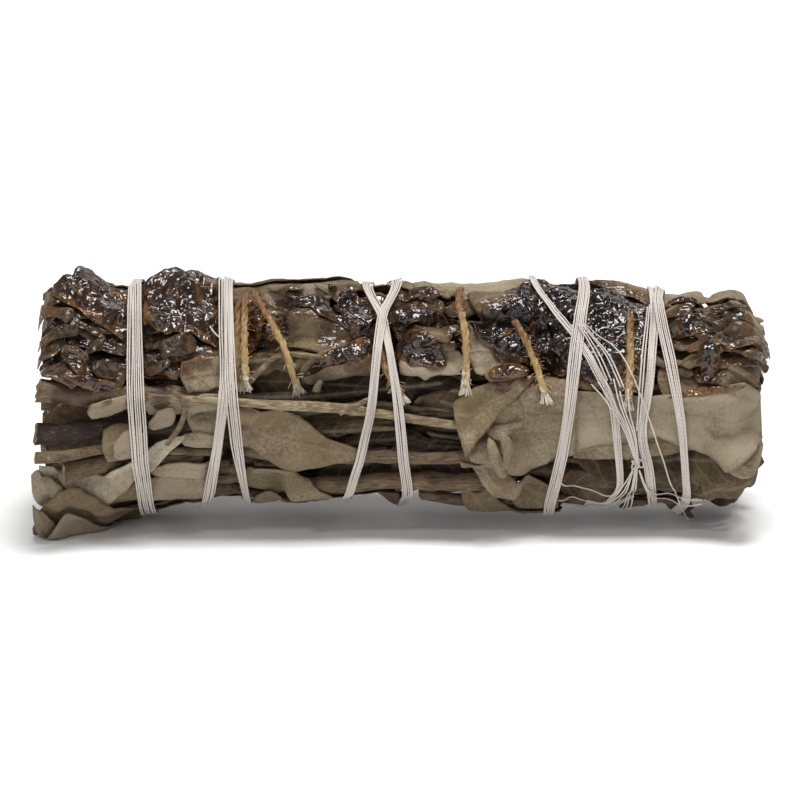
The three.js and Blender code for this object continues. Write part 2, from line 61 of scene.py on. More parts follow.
# %% Bunch space
MM = 0.001
HALF_LENGTH = 52.0
BODY_RADIUS = 15.5
GIRTH = {"taper": 0.115, "flare": 0.105}
END_DROOP = {"left": 1.5, "right": 2.4}
WAIST = {"depth": 1.1, "spread": 6.5}
TIE_PLACES = (-36.8, -24.2, -2.6, 24.0, 36.4)
CORE_STEM_RADIUS = 1.615
CLEARANCE = 0.12
FLOOR_GAP = 0.15
AXIS_SHIFT = 0.14

core_low, core_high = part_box("stem_core_1")
AXIS = np.array([
    AXIS_SHIFT,
    (core_low.y + core_high.y) / 2 / MM,
    core_high.z / MM - CORE_STEM_RADIUS,
])


def girth(x):
    """How wide the bunch is at x, against its middle."""
    along = x / HALF_LENGTH
    return 1 - GIRTH["taper"] * along + GIRTH["flare"] * along ** 2


def end_droop(x):
    """How far the axis has sunk at x."""
    along = x / HALF_LENGTH
    return np.where(x < 0, END_DROOP["left"], END_DROOP["right"]) * along ** 2


def true_radius(x, radius):
    """The radius at x once the bunch is widened at its ends and drawn in at its ties."""
    drawn_in = sum(np.exp(-((x - place) / WAIST["spread"]) ** 2) for place in TIE_PLACES)
    return radius * girth(x) - WAIST["depth"] * drawn_in * (radius / BODY_RADIUS) ** 2


def straight(x, angle, radius):
    """A point on the straight cylinder, from its place along, round and out."""
    turn = np.radians(angle)
    x, y, z = np.broadcast_arrays(x, -radius * np.cos(turn), radius * np.sin(turn))
    return np.stack([x, y, z], axis=-1)


def round_and_out(points):
    """The angle and radius of points on the straight cylinder."""
    angle = np.degrees(np.arctan2(points[..., 2], -points[..., 1]))
    return angle, np.hypot(points[..., 1], points[..., 2])


def settle(points):
    """Straight-cylinder points, bent to the real bunch and moved into the CAD frame."""
    x = points[..., 0]
    angle, radius = round_and_out(points)
    bent = straight(x, angle, true_radius(x, radius)) + AXIS
    bent[..., 2] = np.maximum(bent[..., 2] - end_droop(x), FLOOR_GAP)
    return bent * MM


print("bunch axis at", AXIS.round(2), "mm")

# %% [markdown]
# ## Reading places off the photograph
# A leaf is easiest to place by pointing at it in the photograph. The camera looks down by 15
# degrees, so a picture row stands for an angle round the bunch: the height of the row above the
# axis, divided by the radius there, is the sine of that angle less the camera's tilt.

# %% Picture places
PICTURE = {"scale": 0.1407, "middle": 402.5, "axis_row": 388.0, "tilt": 15.0}
OUTER_RADIUS = 15.3


def spot(column, row):
    """The place along and the angle round for a pixel of the photograph."""
    x = (column - PICTURE["middle"]) * PICTURE["scale"]
    sunk = float(end_droop(np.array(x))) * math.cos(math.radians(PICTURE["tilt"]))
    up = (PICTURE["axis_row"] - row) * PICTURE["scale"] + sunk
    rise = min(max(up / (OUTER_RADIUS * girth(x)), -1.0), 1.0)
    return x, PICTURE["tilt"] + math.degrees(math.asin(rise))


print("the middle of the picture lies at", [round(v, 1) for v in spot(400, 400)])

# %% [markdown]
# ## What has been laid so far
# Pieces are laid from the inside out, and none may sink into the one below. A grid over place
# and angle remembers the greatest radius laid so far. Before a piece is laid, the grid is
# widened and smoothed by as much as the piece bridges: a stiff leaf spans a gap, and a thin
# film of resin follows every fold.

# %% The outside of the bunch
X_STEP = 0.5
ANGLE_STEP = 1.5
GRID_REACH = 56.0
GRID_SIZE = (int(2 * GRID_REACH / X_STEP) + 1, int(360 / ANGLE_STEP))


def filtered(values, span, combine, axis):
    """Each value combined with its neighbours up to span cells away along one axis."""
    if axis == 0:
        padded = np.pad(values, ((span, span), (0, 0)), mode="edge")
        shifted = [padded[n:n + values.shape[0]] for n in range(2 * span + 1)]
    else:
        shifted = [np.roll(values, n, axis=1) for n in range(-span, span + 1)]
    return combine(shifted, axis=0)


class Outside:
    """The greatest radius laid so far, on a grid of places along and angles round."""

    def __init__(self):
        self.radius = np.zeros(GRID_SIZE)

    def cover(self, points):
        angle, radius = round_and_out(points)
        column = np.rint((points[..., 0] + GRID_REACH) / X_STEP).astype(int)
        column = np.clip(column, 0, GRID_SIZE[0] - 1)
        row = np.rint(angle / ANGLE_STEP).astype(int) % GRID_SIZE[1]
        np.maximum.at(self.radius, (column, row), radius)

    def ground(self, reach):
        """The grid, widened and then smoothed over a reach in millimetres."""
        across = max(1, round(reach / X_STEP))
        arc = math.radians(ANGLE_STEP) * BODY_RADIUS
        around = max(1, round(reach / arc))
        values = self.radius
        for combine in (np.max, np.mean):
            values = filtered(values, across, combine, 0)
            values = filtered(values, around, combine, 1)
        return values


def read_grid(values, x, angle):
    """Values of a grid at places between its cells."""
    column = np.clip((x + GRID_REACH) / X_STEP, 0, GRID_SIZE[0] - 1.001)
    row = np.mod(angle, 360) / ANGLE_STEP
    left = column.astype(int)
    below = row.astype(int) % GRID_SIZE[1]
    above = (below + 1) % GRID_SIZE[1]
    part = column - left
    lift = row - np.floor(row)
    near = values[left, below] * (1 - lift) + values[left, above] * lift
    far = values[left + 1, below] * (1 - lift) + values[left + 1, above] * lift
    return near * (1 - part) + far * part


outside = Outside()
print("grid of", GRID_SIZE, "cells")

# %% [markdown]
# ## Small tools for shapes
# A few tools are used all through: a smooth curve through some knots, even steps along it, a soft
# step, smooth seeded noise made of a handful of crossing waves, and folded noise, whose waves have
# sharp crests like the creases of a dry leaf. Blender has noise of its own, but only arrays of
# points can be laid on each other while they are still being made.

# %% Curves and noise
SEED = 12085
FINE_STEPS = 40
WAVES = {"count": 5, "lengths": (0.7, 1.5), "scale": 3}


def through(knots, places):
    """A smooth curve through knots, read at places counted in knots."""
    knots = np.asarray(knots, float)
    knots = knots.reshape(len(knots), -1)
    ends = (2 * knots[:1] - knots[1:2], 2 * knots[-1:] - knots[-2:-1])
    padded = np.vstack([ends[0], knots, ends[1]])
    start = np.clip(places.astype(int), 0, len(knots) - 2)
    t = (places - start)[..., None]
    a, b, c, d = (padded[start + n] for n in range(4))
    return 0.5 * (2 * b + (c - a) * t + (2 * a - 5 * b + 4 * c - d) * t ** 2
                  + (3 * b - a - 3 * c + d) * t ** 3)


def run_length(path):
    """The length run from the start of a path to each of its points."""
    steps = np.linalg.norm(np.diff(path, axis=0), axis=1)
    return np.concatenate([[0], np.cumsum(steps)])


def even_places(knots, step, least):
    """Places along a curve about a step apart, counted in knots, and the curve's length."""
    fine = np.linspace(0, len(knots) - 1, FINE_STEPS * len(knots))
    gone = run_length(through(knots, fine))
    count = max(least, int(gone[-1] / step))
    return np.interp(np.linspace(0, gone[-1], count), gone, fine), gone[-1]


def soft_step(start, end, value):
    t = np.clip((value - start) / (end - start), 0, 1)
    return t * t * (3 - 2 * t)


def waves(a, b, length, seed, folded=False):
    """Smooth noise, mostly from -1 to 1, over two coordinates; folded noise has sharp crests."""
    rng = np.random.default_rng(SEED + seed)
    total = 0
    for _ in range(WAVES["count"]):
        turn = rng.uniform(0, math.pi)
        pitch = 2 * math.pi / (length * rng.uniform(*WAVES["lengths"]))
        phase = rng.uniform(0, 2 * math.pi)
        wave = np.sin(pitch * (a * math.cos(turn) + b * math.sin(turn)) + phase)
        total = total + (1 - 2 * np.abs(wave) if folded else wave)
    return total / WAVES["scale"]


def unit(vectors):
    return vectors / np.maximum(np.linalg.norm(vectors, axis=-1, keepdims=True), 1e-9)


def unrolled(spine):
    """Places along and angles round, with each angle as a length of arc."""
    return np.array([(x, math.radians(angle) * BODY_RADIUS) for x, angle in spine])


print("noise at the middle", round(float(waves(np.array(0.0), np.array(0.0), 5, 1)), 3))

# %% [markdown]
# ## From grids to pieces
# Every shape here is a grid of points that is closed into a solid: a leaf is two grids joined
# round their rim, and a stem or thread is one grid rolled into a tube with two caps. The mesh is
# filled with arrays in one go, because adding faces one at a time would be slow. Numbers that
# the finishes need, such as how much resin lies on a spot, go along as attributes.

# %% Meshes and pieces
ATTRIBUTES = ("tone", "resin", "rim", "along", "across")


def grid_quads(rows, columns):
    number = np.arange(rows * columns).reshape(rows, columns)
    corners = [number[:-1, :-1], number[1:, :-1], number[1:, 1:], number[:-1, 1:]]
    return np.stack(corners, axis=-1).reshape(-1, 4)


def plate_mesh(outer, inner, facts):
    """A closed thin solid between two grids of points."""
    rows, columns = outer.shape[:2]
    count = rows * columns
    number = np.arange(count).reshape(rows, columns)
    loop = np.concatenate([number[:-1, 0], number[-1, :-1], number[:0:-1, -1], number[0, :0:-1]])
    ahead = np.roll(loop, -1)
    rim = np.stack([ahead, loop, loop + count, ahead + count], axis=-1)
    top = grid_quads(rows, columns)
    quads = np.concatenate([top, top[:, ::-1] + count, rim])
    points = np.concatenate([outer.reshape(-1, 3), inner.reshape(-1, 3)])
    return points, quads, {name: np.tile(fact.reshape(-1), 2) for name, fact in facts.items()}


def tube_mesh(rings, facts):
    """A closed tube through rings of points, its ends capped by strips."""
    rows, sides = rings.shape[:2]
    number = np.arange(rows * sides).reshape(rows, sides)
    ahead = np.roll(number, -1, axis=1)
    walls = np.stack([number[:-1], ahead[:-1], ahead[1:], number[1:]], axis=-1).reshape(-1, 4)
    step = np.arange(sides // 2 - 1)
    cap = np.stack([step, sides - 1 - step, sides - 2 - step, step + 1], axis=-1)
    quads = np.concatenate([walls, cap, cap[:, ::-1] + number[-1, 0]])
    return rings.reshape(-1, 3), quads, {name: fact.reshape(-1) for name, fact in facts.items()}


laid_points = {}


def make_piece(node, finish, solids, part="dressed"):
    """One Blender object from closed solids, in the place of one CAD node."""
    starts = np.cumsum([0] + [len(points) for points, _, _ in solids])
    laid = np.concatenate([solid[0] for solid in solids])
    points = settle(laid)
    quads = np.concatenate([solid[1] + start for solid, start in zip(solids, starts)])
    mesh = bpy.data.meshes.new(node)
    mesh.vertices.add(len(points))
    mesh.vertices.foreach_set("co", points.ravel())
    mesh.loops.add(quads.size)
    mesh.loops.foreach_set("vertex_index", quads.ravel().astype(np.int32))
    mesh.polygons.add(len(quads))
    mesh.polygons.foreach_set("loop_start", np.arange(0, quads.size, 4, dtype=np.int32))
    mesh.update(calc_edges=True)
    mesh.shade_smooth()
    for name in ATTRIBUTES:
        blank = [np.zeros(len(solid[0])) for solid in solids]
        values = np.concatenate([s[2].get(name, b) for s, b in zip(solids, blank)])
        mesh.attributes.new(name, "FLOAT", "POINT").data.foreach_set("value", values)
    mesh.materials.append(finish)
    piece = bpy.data.objects.new(f"{node}_{part}", mesh)
    laid_points[piece.name] = laid
    bpy.context.collection.objects.link(piece)
    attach(piece, "root")
    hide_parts(node)


print("attributes carried by each piece:", ", ".join(ATTRIBUTES))

# %% [markdown]
# ## Where the resin ran
# Resin was poured along the top of the bunch in four places, and it soaked into what lay there.
# A stain could be painted by hand on each leaf, but then no leaf could be moved. Here a pour is a
# strip between a lower and an upper angle at a few places along, a splash is a round spot, and any
# point can ask how much resin it took up. The films that lie on the leaves are made much later.

# %% Resin pours
RESIN_POURS = {
    "resin_left": {"x": (-50, -44, -38, -32, -25.5), "low": (22, 14, 20, 24, 30),
                   "high": (118, 126, 120, 124, 112)},
    "resin_middle": {"x": (-16, -11, -5, 1, 8.5), "low": (50, 46, 28, 34, 47),
                     "high": (60, 68, 84, 74, 58)},
    "resin_right": {"x": (12, 17, 23, 29, 35), "low": (42, 26, 19, 18, 30),
                    "high": (66, 104, 120, 116, 100)},
    "resin_end": {"x": (36.5, 40, 44, 48.5), "low": (54, 44, 47, 56),
                  "high": (84, 92, 88, 76)},
}
STAIN = {"wander": ((2.2, 6.0), (0.8, 1.7)), "soft": (-2.5, 3.0), "splash": 0.75, "outer": (9.0, 12.5)}
STAIN_SEED = 71
ARC = math.radians(1) * BODY_RADIUS
SPLASHES = {
    (72, 384): 5.0, (160, 388): 3.0, (246, 312): 9.0, (290, 300): 5.0, (420, 300): 5.5,
    (505, 370): 3.0, (702, 365): 4.5, (735, 345): 6.0, (672, 508): 3.0, (60, 340): 6.0,
}


def inside_pour(pour, x, angle):
    """How deep a place lies inside a pour, in millimetres, negative outside."""
    low = np.interp(x, pour["x"], pour["low"])
    high = np.interp(x, pour["x"], pour["high"])
    sides = np.minimum((angle - low) * ARC, (high - angle) * ARC)
    ends = np.minimum(x - pour["x"][0], pour["x"][-1] - x)
    return np.minimum(sides, ends)


def resin_stain(points):
    """How much resin has soaked in at each point, from 0 to 1."""
    x = points[..., 0]
    angle, radius = round_and_out(points)
    arc = np.radians(angle) * BODY_RADIUS
    edge = sum(size * waves(x, arc, length, STAIN_SEED + n)
               for n, (size, length) in enumerate(STAIN["wander"]))
    depth = np.max([inside_pour(pour, x, angle) for pour in RESIN_POURS.values()], axis=0)
    stain = soft_step(*STAIN["soft"], depth + edge)
    for pixel, size in SPLASHES.items():
        place, centre = spot(*pixel)
        away = np.hypot(x - place, (angle - centre) * math.radians(1) * BODY_RADIUS)
        splash = soft_step(size / 2, -1.0, away - size / 2 + edge * 0.8)
        stain = np.maximum(stain, STAIN["splash"] * splash)
    return stain * soft_step(*STAIN["outer"], radius)


print(len(RESIN_POURS), "pours and", len(SPLASHES), "splashes of resin")

# %% [markdown]
# ## How a leaf bends
# A dry sage leaf is a thin felted blade that curls across its width and crumples along it. It
# could be a plane with modifiers, but then it would not know what it lies on. Here its
# cross-section is drawn by turning step by step, so it can roll, and even hook back at its edges.
# A few straight creases are added as heights, and a leaf on high ground is pressed flatter.

# %% Leaf bends
LIP_START = 0.45
FOLD_SHARPNESS = 8
CREASES = {"signs": (1, -1, 1), "lean": 0.6, "along": (0.15, 0.85), "beside": 0.4}
PRESSED = {"outermost": 17.5, "over": 2.0, "least": 0.4}


def edge_turn(across):
    """How much of an edge curl has been turned at each place across."""
    return soft_step(LIP_START, 1.0, across)


def cross_section(across, roll, lips, fold):
    """Sideways and upward travel of a blade's cross-section for a half-width of 1."""
    low_lip, high_lip = lips
    bend = (1 - fold) * across + fold * np.tanh(FOLD_SHARPNESS * across)
    turned = -roll / 2 * bend - high_lip * edge_turn(across) + low_lip * edge_turn(-across)
    turned = np.radians(turned)
    step = across[0, 1] - across[0, 0]
    sideways = np.cumsum(np.cos(turned), axis=1) * step
    upward = np.cumsum(np.sin(turned), axis=1) * step
    middle = across.shape[1] // 2
    sideways = sideways - sideways[:, middle:middle + 1]
    return sideways, upward - upward.min(axis=1, keepdims=True)


def creases(along, flat, seed):
    """Height of a sheet creased along a few straight lines, with a slope of 1 at each crease."""
    rng = np.random.default_rng(SEED + seed)
    height = 0
    for fold_sign in CREASES["signs"]:
        lean = rng.uniform(-CREASES["lean"], CREASES["lean"])
        start = along[0, 0] + rng.uniform(*CREASES["along"]) * (along[-1, 0] - along[0, 0])
        beside = rng.uniform(-CREASES["beside"], CREASES["beside"]) * flat.max()
        away = (flat - beside) * math.cos(lean) - (along - start) * math.sin(lean)
        height = height + fold_sign * np.abs(away)
    return height - height.min()


def pressed(below):
    """How much of its own height a leaf keeps on ground that is already high."""
    return np.clip((PRESSED["outermost"] - below) / PRESSED["over"], PRESSED["least"], 1.0)


print("a pressed leaf keeps at least", PRESSED["least"], "of its height")

# %% [markdown]
# ## A leaf's outline
# Most leaves are given by a spine, which is a few places along their middle, and a width at each.
# Where the photograph shows the whole outline of a leaf, its two edges are given instead. Both
# ways end in the same two things: a middle line, and the half-width sideways at each step of it.

# %% Leaf outlines
LEAF_STEP = 0.45
LEAST_ROWS = 12
TIP_FULLNESS = 1.02
RAGGED_LENGTHS = (5.5, 2.6)


def spine_outline(spine, widths, seed, ragged=0.05, blunt=18):
    """The middle line of a leaf and its half-width sideways, from a spine and widths."""
    knots = unrolled(spine)
    places, length = even_places(knots, LEAF_STEP, LEAST_ROWS)
    centre = through(knots, places)
    forward = unit(np.gradient(centre, axis=0))
    along = np.linspace(0, length, len(places))
    half = np.interp(places, np.arange(len(widths)), widths) / 2
    half = half * np.sqrt(TIP_FULLNESS - np.abs(2 * along / length - 1) ** blunt)
    bites = sum(waves(along, 0 * along, size, seed) for size in RAGGED_LENGTHS)
    half = half * (1 + ragged * bites)
    side = np.stack([-forward[:, 1], forward[:, 0]], axis=-1)
    return centre, side * half[:, None]


def along_edge(edge, places):
    """Points on the straight lines between an edge's knots, at places counted in knots."""
    knots = np.arange(len(edge))
    return np.stack([np.interp(places, knots, edge[:, n]) for n in (0, 1)], axis=-1)


def edge_outline(upper, lower):
    """The middle line of a leaf and its half-width sideways, from two edges in the photograph."""
    edges = [unrolled([spot(*pixel) for pixel in pixels]) for pixels in (lower, upper)]
    length = run_length((edges[0] + edges[1]) / 2)[-1]
    places = np.linspace(0, len(upper) - 1, max(LEAST_ROWS, int(length / LEAF_STEP)))
    low, high = (along_edge(edge, places) for edge in edges)
    return (low + high) / 2, (high - low) / 2


print("leaves are drawn in steps of", LEAF_STEP, "mm")

# %% [markdown]
# ## Laying a leaf
# On the real bunch each leaf was laid on the last and dried there. So the bent blade takes its
# height from the ground under it, with ripples and wrinkles of its own. Leaves that soaked up resin
# shrank more, so their wrinkles are deeper. An inner leaf can be tucked in at the bunch's ends, as
# cut leaves fall inwards there. Last the sheet gets a thickness, less at its rim.

# %% Leaf sheets
BED_RADIUS = 12.5
LEAF_THICKNESS = 0.34
LEAF_REACH = 0.7
LEAST_COLUMNS = 9
LEAF_WAVES = {"curl": 14.0, "ripple": 6.5, "crumple": 4.0, "tone": 7.0}
CURL_CHANGE = 0.25
TONE_CHANGE = 0.12
LIP_CURL = (-35, 25)
RIDGE_LIPS = (-40, 0)
STAIN_RADIUS = 15.0
WRINKLES = (
    {"length": 3.0, "dry": 0.05, "soaked": 0.45, "seed": 8},
    {"length": 1.5, "dry": 0.03, "soaked": 0.22, "seed": 9},
)
TUCK = {"from": (45.5, 51.5), "left": 0.3}
RIM = {"thinner": 0.55, "sharpness": 8}


def leaf_sheet(outline, roll=50, fold=0.0, lips=None, lift=0.0, ripple=0.3, crumple=0.3,
               crease=0.1, bed=BED_RADIUS, tone=0.5, seed=0, thickness=LEAF_THICKNESS, tuck=0.0):
    """A leaf of a given outline laid on the bunch."""
    centre, side = outline
    half = np.linalg.norm(side, axis=1)[:, None]
    rows = len(centre)
    columns = max(LEAST_COLUMNS, int(2 * half.max() / LEAF_STEP)) | 1
    along = run_length(centre)[:, None]
    length = along[-1, 0]
    across = np.broadcast_to(np.linspace(-1, 1, columns), (rows, columns))
    curl = roll * (1 + CURL_CHANGE * waves(along, 0 * along, LEAF_WAVES["curl"], seed + 2))
    lips = lips or np.random.default_rng(SEED + seed).uniform(*LIP_CURL, 2)
    sideways, upward = cross_section(across, curl, lips, fold)
    x = centre[:, :1] + side[:, :1] * sideways
    angle = np.degrees((centre[:, 1:] + side[:, 1:] * sideways) / BODY_RADIUS)
    flat = across * half
    rise = upward * half + ripple * (1 + waves(along, flat, LEAF_WAVES["ripple"], seed + 3)) / 2
    crests = 1 + waves(along, flat, LEAF_WAVES["crumple"], seed + 4, folded=True)
    rise = rise + crumple * crests / 2
    rise = rise + crease * creases(along, flat, seed + 7)
    soaked = resin_stain(straight(x, angle, STAIN_RADIUS))
    for wrinkle in WRINKLES:
        crests = 1 + waves(along, flat, wrinkle["length"], seed + wrinkle["seed"], folded=True)
        rise = rise + (wrinkle["dry"] + wrinkle["soaked"] * soaked) * crests / 2
    end = soft_step(*TUCK["from"], np.abs(x)) * np.where(x > 0, tuck, tuck * TUCK["left"])
    lift = np.atleast_1d(lift)
    rise = rise + np.interp(np.linspace(0, 1, rows), np.linspace(0, 1, len(lift)), lift)[:, None]
    below = np.maximum(read_grid(outside.ground(LEAF_REACH), x, angle), bed)
    height = below + CLEARANCE + thickness / 2 + rise * pressed(below)
    sheet = straight(x, angle, height * (1 - end))
    facing = unit(np.cross(np.gradient(sheet, axis=0), np.gradient(sheet, axis=1)))
    rim = np.maximum(np.abs(across), np.abs(2 * along / length - 1) ** RIM["sharpness"])
    slack = facing * (thickness / 2 * (1 - RIM["thinner"] * rim ** RIM["sharpness"]))[..., None]
    outer, inner = sheet + slack, sheet - slack
    outside.cover(outer)
    outside.cover(inner)
    tones = TONE_CHANGE * waves(along, flat, LEAF_WAVES["tone"], seed + 5)
    facts = {
        "tone": np.full(across.shape, tone) + tones,
        "resin": resin_stain(outer),
        "rim": rim,
        "along": np.broadcast_to(along, across.shape),
        "across": flat,
    }
    return plate_mesh(outer, inner, facts)


def leaf(seed, spine=None, pixels=None, widths=None, ragged=0.05, blunt=18, upper=None, lower=None,
         **shape):
    """A leaf given by a spine, by a spine in pixels, or by two edges in pixels."""
    if upper:
        outline = edge_outline(upper, lower)
    else:
        spine = spine or [spot(*pixel) for pixel in pixels]
        outline = spine_outline(spine, widths, seed, ragged, blunt)
    return leaf_sheet(outline, seed=seed, **shape)


def blade(pixels, widths, **shape):
    """One entry of a list of leaves or films: a spine in pixels, its widths and its shape."""
    return dict(pixels=pixels, widths=widths, **shape)


def ridge(pixels, widths, **shape):
    """An entry for a leaf folded into a ridge, with its lower edge turned down."""
    return blade(pixels, widths, lips=RIDGE_LIPS, **shape)


def bunch_girth():
    """The usual and the greatest radius laid so far, away from the ends."""
    end_cells = 20
    usual, greatest = np.percentile(outside.radius[end_cells:-end_cells], (50, 99))
    return f"radius {usual:.1f}, at most {greatest:.1f} mm"


print("leaf blades are", LEAF_THICKNESS, "mm thick")

# %% [markdown]
# ## One stem
# A sage stem is woody and slightly four-sided, with bark in long fibres, a scar where each leaf
# grew, and a pale pith at its cut ends. A plain cylinder would look like a dowel, so the tube's
# radius changes along it and round it, its cuts slant, and each end steps inwards in a few rings,
# which leave a rim of bark. The rings are numbered, so that the finish can tell them apart.

# %% Stem bodies
STEM_SIDES = 14
BARK = {"square": 0.05, "bands": ((0.05, 9, 7.0), (0.04, 30, 3.0)), "scar": 0.22, "scar_length": 0.9}
STEM_CUT = {"slant": 0.2, "reach": 1.6, "chip": 0.08, "chip_size": 3, "chip_length": 2.0}
END_GRAIN = ((0.86, 0.02), (0.6, 0.10), (0.3, 0.12), (0.16, 0.4))


def tube_rings(path, radius, sides, outward):
    """Rings of points round a path; the radius may differ along and round it."""
    tangent = unit(np.gradient(path, axis=0))
    side = unit(np.cross(outward, tangent))
    up = np.cross(tangent, side)
    turn = np.arange(sides) / sides * 2 * math.pi
    ring = np.cos(turn)[:, None] * side[:, None] + np.sin(turn)[:, None] * up[:, None]
    return path[:, None] + np.broadcast_to(radius, (len(path), sides))[..., None] * ring


def end_rings(ring, centre, inward, radius):
    """The rings of a cut end, each smaller than the last and sunk in by its own depth."""
    return [centre + size * (ring - centre) + deep * radius * inward for size, deep in END_GRAIN]


def stem_solid(path, radius, tone, seed, scars=()):
    """A closed stem along a path, with bark ridges, scars and slanting cut ends."""
    length = run_length(path)
    turn = np.arange(STEM_SIDES) / STEM_SIDES * 2 * math.pi
    along = length[:, None]
    bark = BARK["square"] * np.cos(4 * turn + seed)
    for n, (depth, crowd, size) in enumerate(BARK["bands"]):
        bark = bark + depth * waves(along, crowd * turn, size, seed + n)
    for place in scars:
        away = (along - place * length[-1]) / BARK["scar_length"]
        bark = bark + BARK["scar"] * np.exp(-away ** 2)
    thick = radius * (1 + bark)
    upward = np.broadcast_to([0.0, 0.0, 1.0], path.shape)
    body = tube_rings(path, thick, STEM_SIDES, upward)
    reach = STEM_CUT["reach"] * radius
    near_end = np.exp(-(along / reach) ** 2) - np.exp(-((length[-1] - along) / reach) ** 2)
    outward = unit(path * np.array([0.0, 1.0, 1.0]))[:, None]
    leaning = np.sum((body - path[:, None]) * outward, axis=-1)
    chips = waves(STEM_CUT["chip_size"] * np.cos(turn), STEM_CUT["chip_size"] * np.sin(turn),
                  STEM_CUT["chip_length"], seed + 2)
    chipped = STEM_CUT["slant"] * leaning + STEM_CUT["chip"] * radius * chips
    body[..., 0] += near_end * chipped * np.sign(path[-1, 0] - path[0, 0])
    starts = end_rings(body[0], path[0], unit(path[1] - path[0]), radius)
    ends = end_rings(body[-1], path[-1], unit(path[-2] - path[-1]), radius)
    rings = np.concatenate([starts[::-1], body, ends])
    steps = len(END_GRAIN)
    cut = np.zeros(rings.shape[:2])
    cut[-steps:] = np.arange(1, steps + 1)[:, None]
    cut[:steps] = cut[-steps:][::-1]
    gone = np.pad(length, steps, mode="edge")
    facts = {
        "tone": np.full(cut.shape, tone),
        "resin": resin_stain(rings),
        "rim": cut,
        "along": np.broadcast_to(gone[:, None], cut.shape),
        "across": np.broadcast_to(turn * radius, cut.shape),
    }
    return tube_mesh(rings, facts)


print("stems have", STEM_SIDES, "sides and", len(END_GRAIN), "rings at each cut")

# %% [markdown]
# ## Laying a stem
# The inner stems run straight through the bunch at a set distance from its axis. The outer ones
# lie on what is there. Wood is stiff, so a laid stem doesn't follow each leaf: the ground under it
# is widened and smoothed along its length before it is put down. Twine and thread are laid by the
# same function, with less stiffness.

# %% Laid stems
STEM_STEP = 0.7
STEM_BED = BED_RADIUS - 1.0
STEM_STIFFNESS = 5.0
STEM_SWAY = {"angle": 3, "length": 60}
LEAST_PATH = 8


def inner_stem(start, end, angle, pitch, radius, tone, seed):
    """A stem inside the bunch, at a set radius from the axis."""
    x = np.arange(start, end, STEM_STEP)
    sway = STEM_SWAY["angle"] * waves(x, 0 * x, STEM_SWAY["length"], seed)
    path = straight(x, angle + sway, pitch + 0 * x)
    solid = stem_solid(path, radius, tone, seed)
    outside.cover(solid[0])
    return solid


def laid_path(pixels, radius, step, bed, stiffness, lift):
    """The middle line of a round thing laid along pixels, bridging what it is too stiff for."""
    knots = unrolled([spot(*pixel) for pixel in pixels])
    places, _ = even_places(knots, step, LEAST_PATH)
    centre = through(knots, places)
    angle = np.degrees(centre[:, 1] / BODY_RADIUS)
    below = np.maximum(read_grid(outside.ground(radius), centre[:, 0], angle), bed)
    span = max(1, int(stiffness / step))
    for combine in (np.max, np.mean):
        padded = np.pad(below, span, mode="edge")
        below = np.array([combine(padded[n:n + 2 * span + 1]) for n in range(len(below))])
    rise = through(np.broadcast_to(lift, len(knots)), places)[:, 0]
    return straight(centre[:, 0], angle, below + radius + CLEARANCE + rise)


def laid_stem(pixels, radius, tone, seed, scars=(), lift=0.0):
    """A stem laid on the bunch along pixels of the photograph."""
    path = laid_path(pixels, radius, STEM_STEP, STEM_BED, STEM_STIFFNESS, lift)
    solid = stem_solid(path, radius, tone, seed, scars)
    outside.cover(solid[0])
    return solid


print("a laid stem bridges", 2 * STEM_STIFFNESS, "mm")

# %% [markdown]
# ## Shader maths in plain Python
# A finish is a small sum of noise, masks and colours. Its nodes could be wired by hand, but then
# the sums would be hard to read. One class wraps a number socket so that masks can be written as
# ordinary sums: each sign adds a Math node.

# %% Number sockets
class Value:
    """A number socket that takes part in Python sums."""

    def __init__(self, finish, socket):
        self.finish = finish
        self.socket = socket

    def sum(self, operation, first, second):
        settings = {"operation": operation}
        return self.finish.node("ShaderNodeMath", settings, {0: first, 1: second})

    def __add__(self, other):
        return self.sum("ADD", self, other)

    def __sub__(self, other):
        return self.sum("SUBTRACT", self, other)

    def __rsub__(self, other):
        return self.sum("SUBTRACT", other, self)

    def __mul__(self, other):
        return self.sum("MULTIPLY", self, other)

    __radd__ = __add__
    __rmul__ = __mul__


def linear(red, green, blue):
    """A colour for a shader from the 0 to 255 numbers of a picture."""
    channels = [value / 255 for value in (red, green, blue)]
    bent = [c / 12.92 if c < 0.04045 else ((c + 0.055) / 1.055) ** 2.4 for c in channels]
    return (*bent, 1.0)


print("a middle grey is", round(linear(128, 128, 128)[0], 3), "in a shader")

# %% [markdown]
# ## One finish
# A second class makes a finish. One method adds any node by its type, settings and sockets, and
# the others are short names for the nodes that are used most. All noise is measured in
# millimetres of the real object. Wet resin on a dry leaf needs two Principled shaders, mixed by a
# mask, because one shader can't be both felted and glossy.

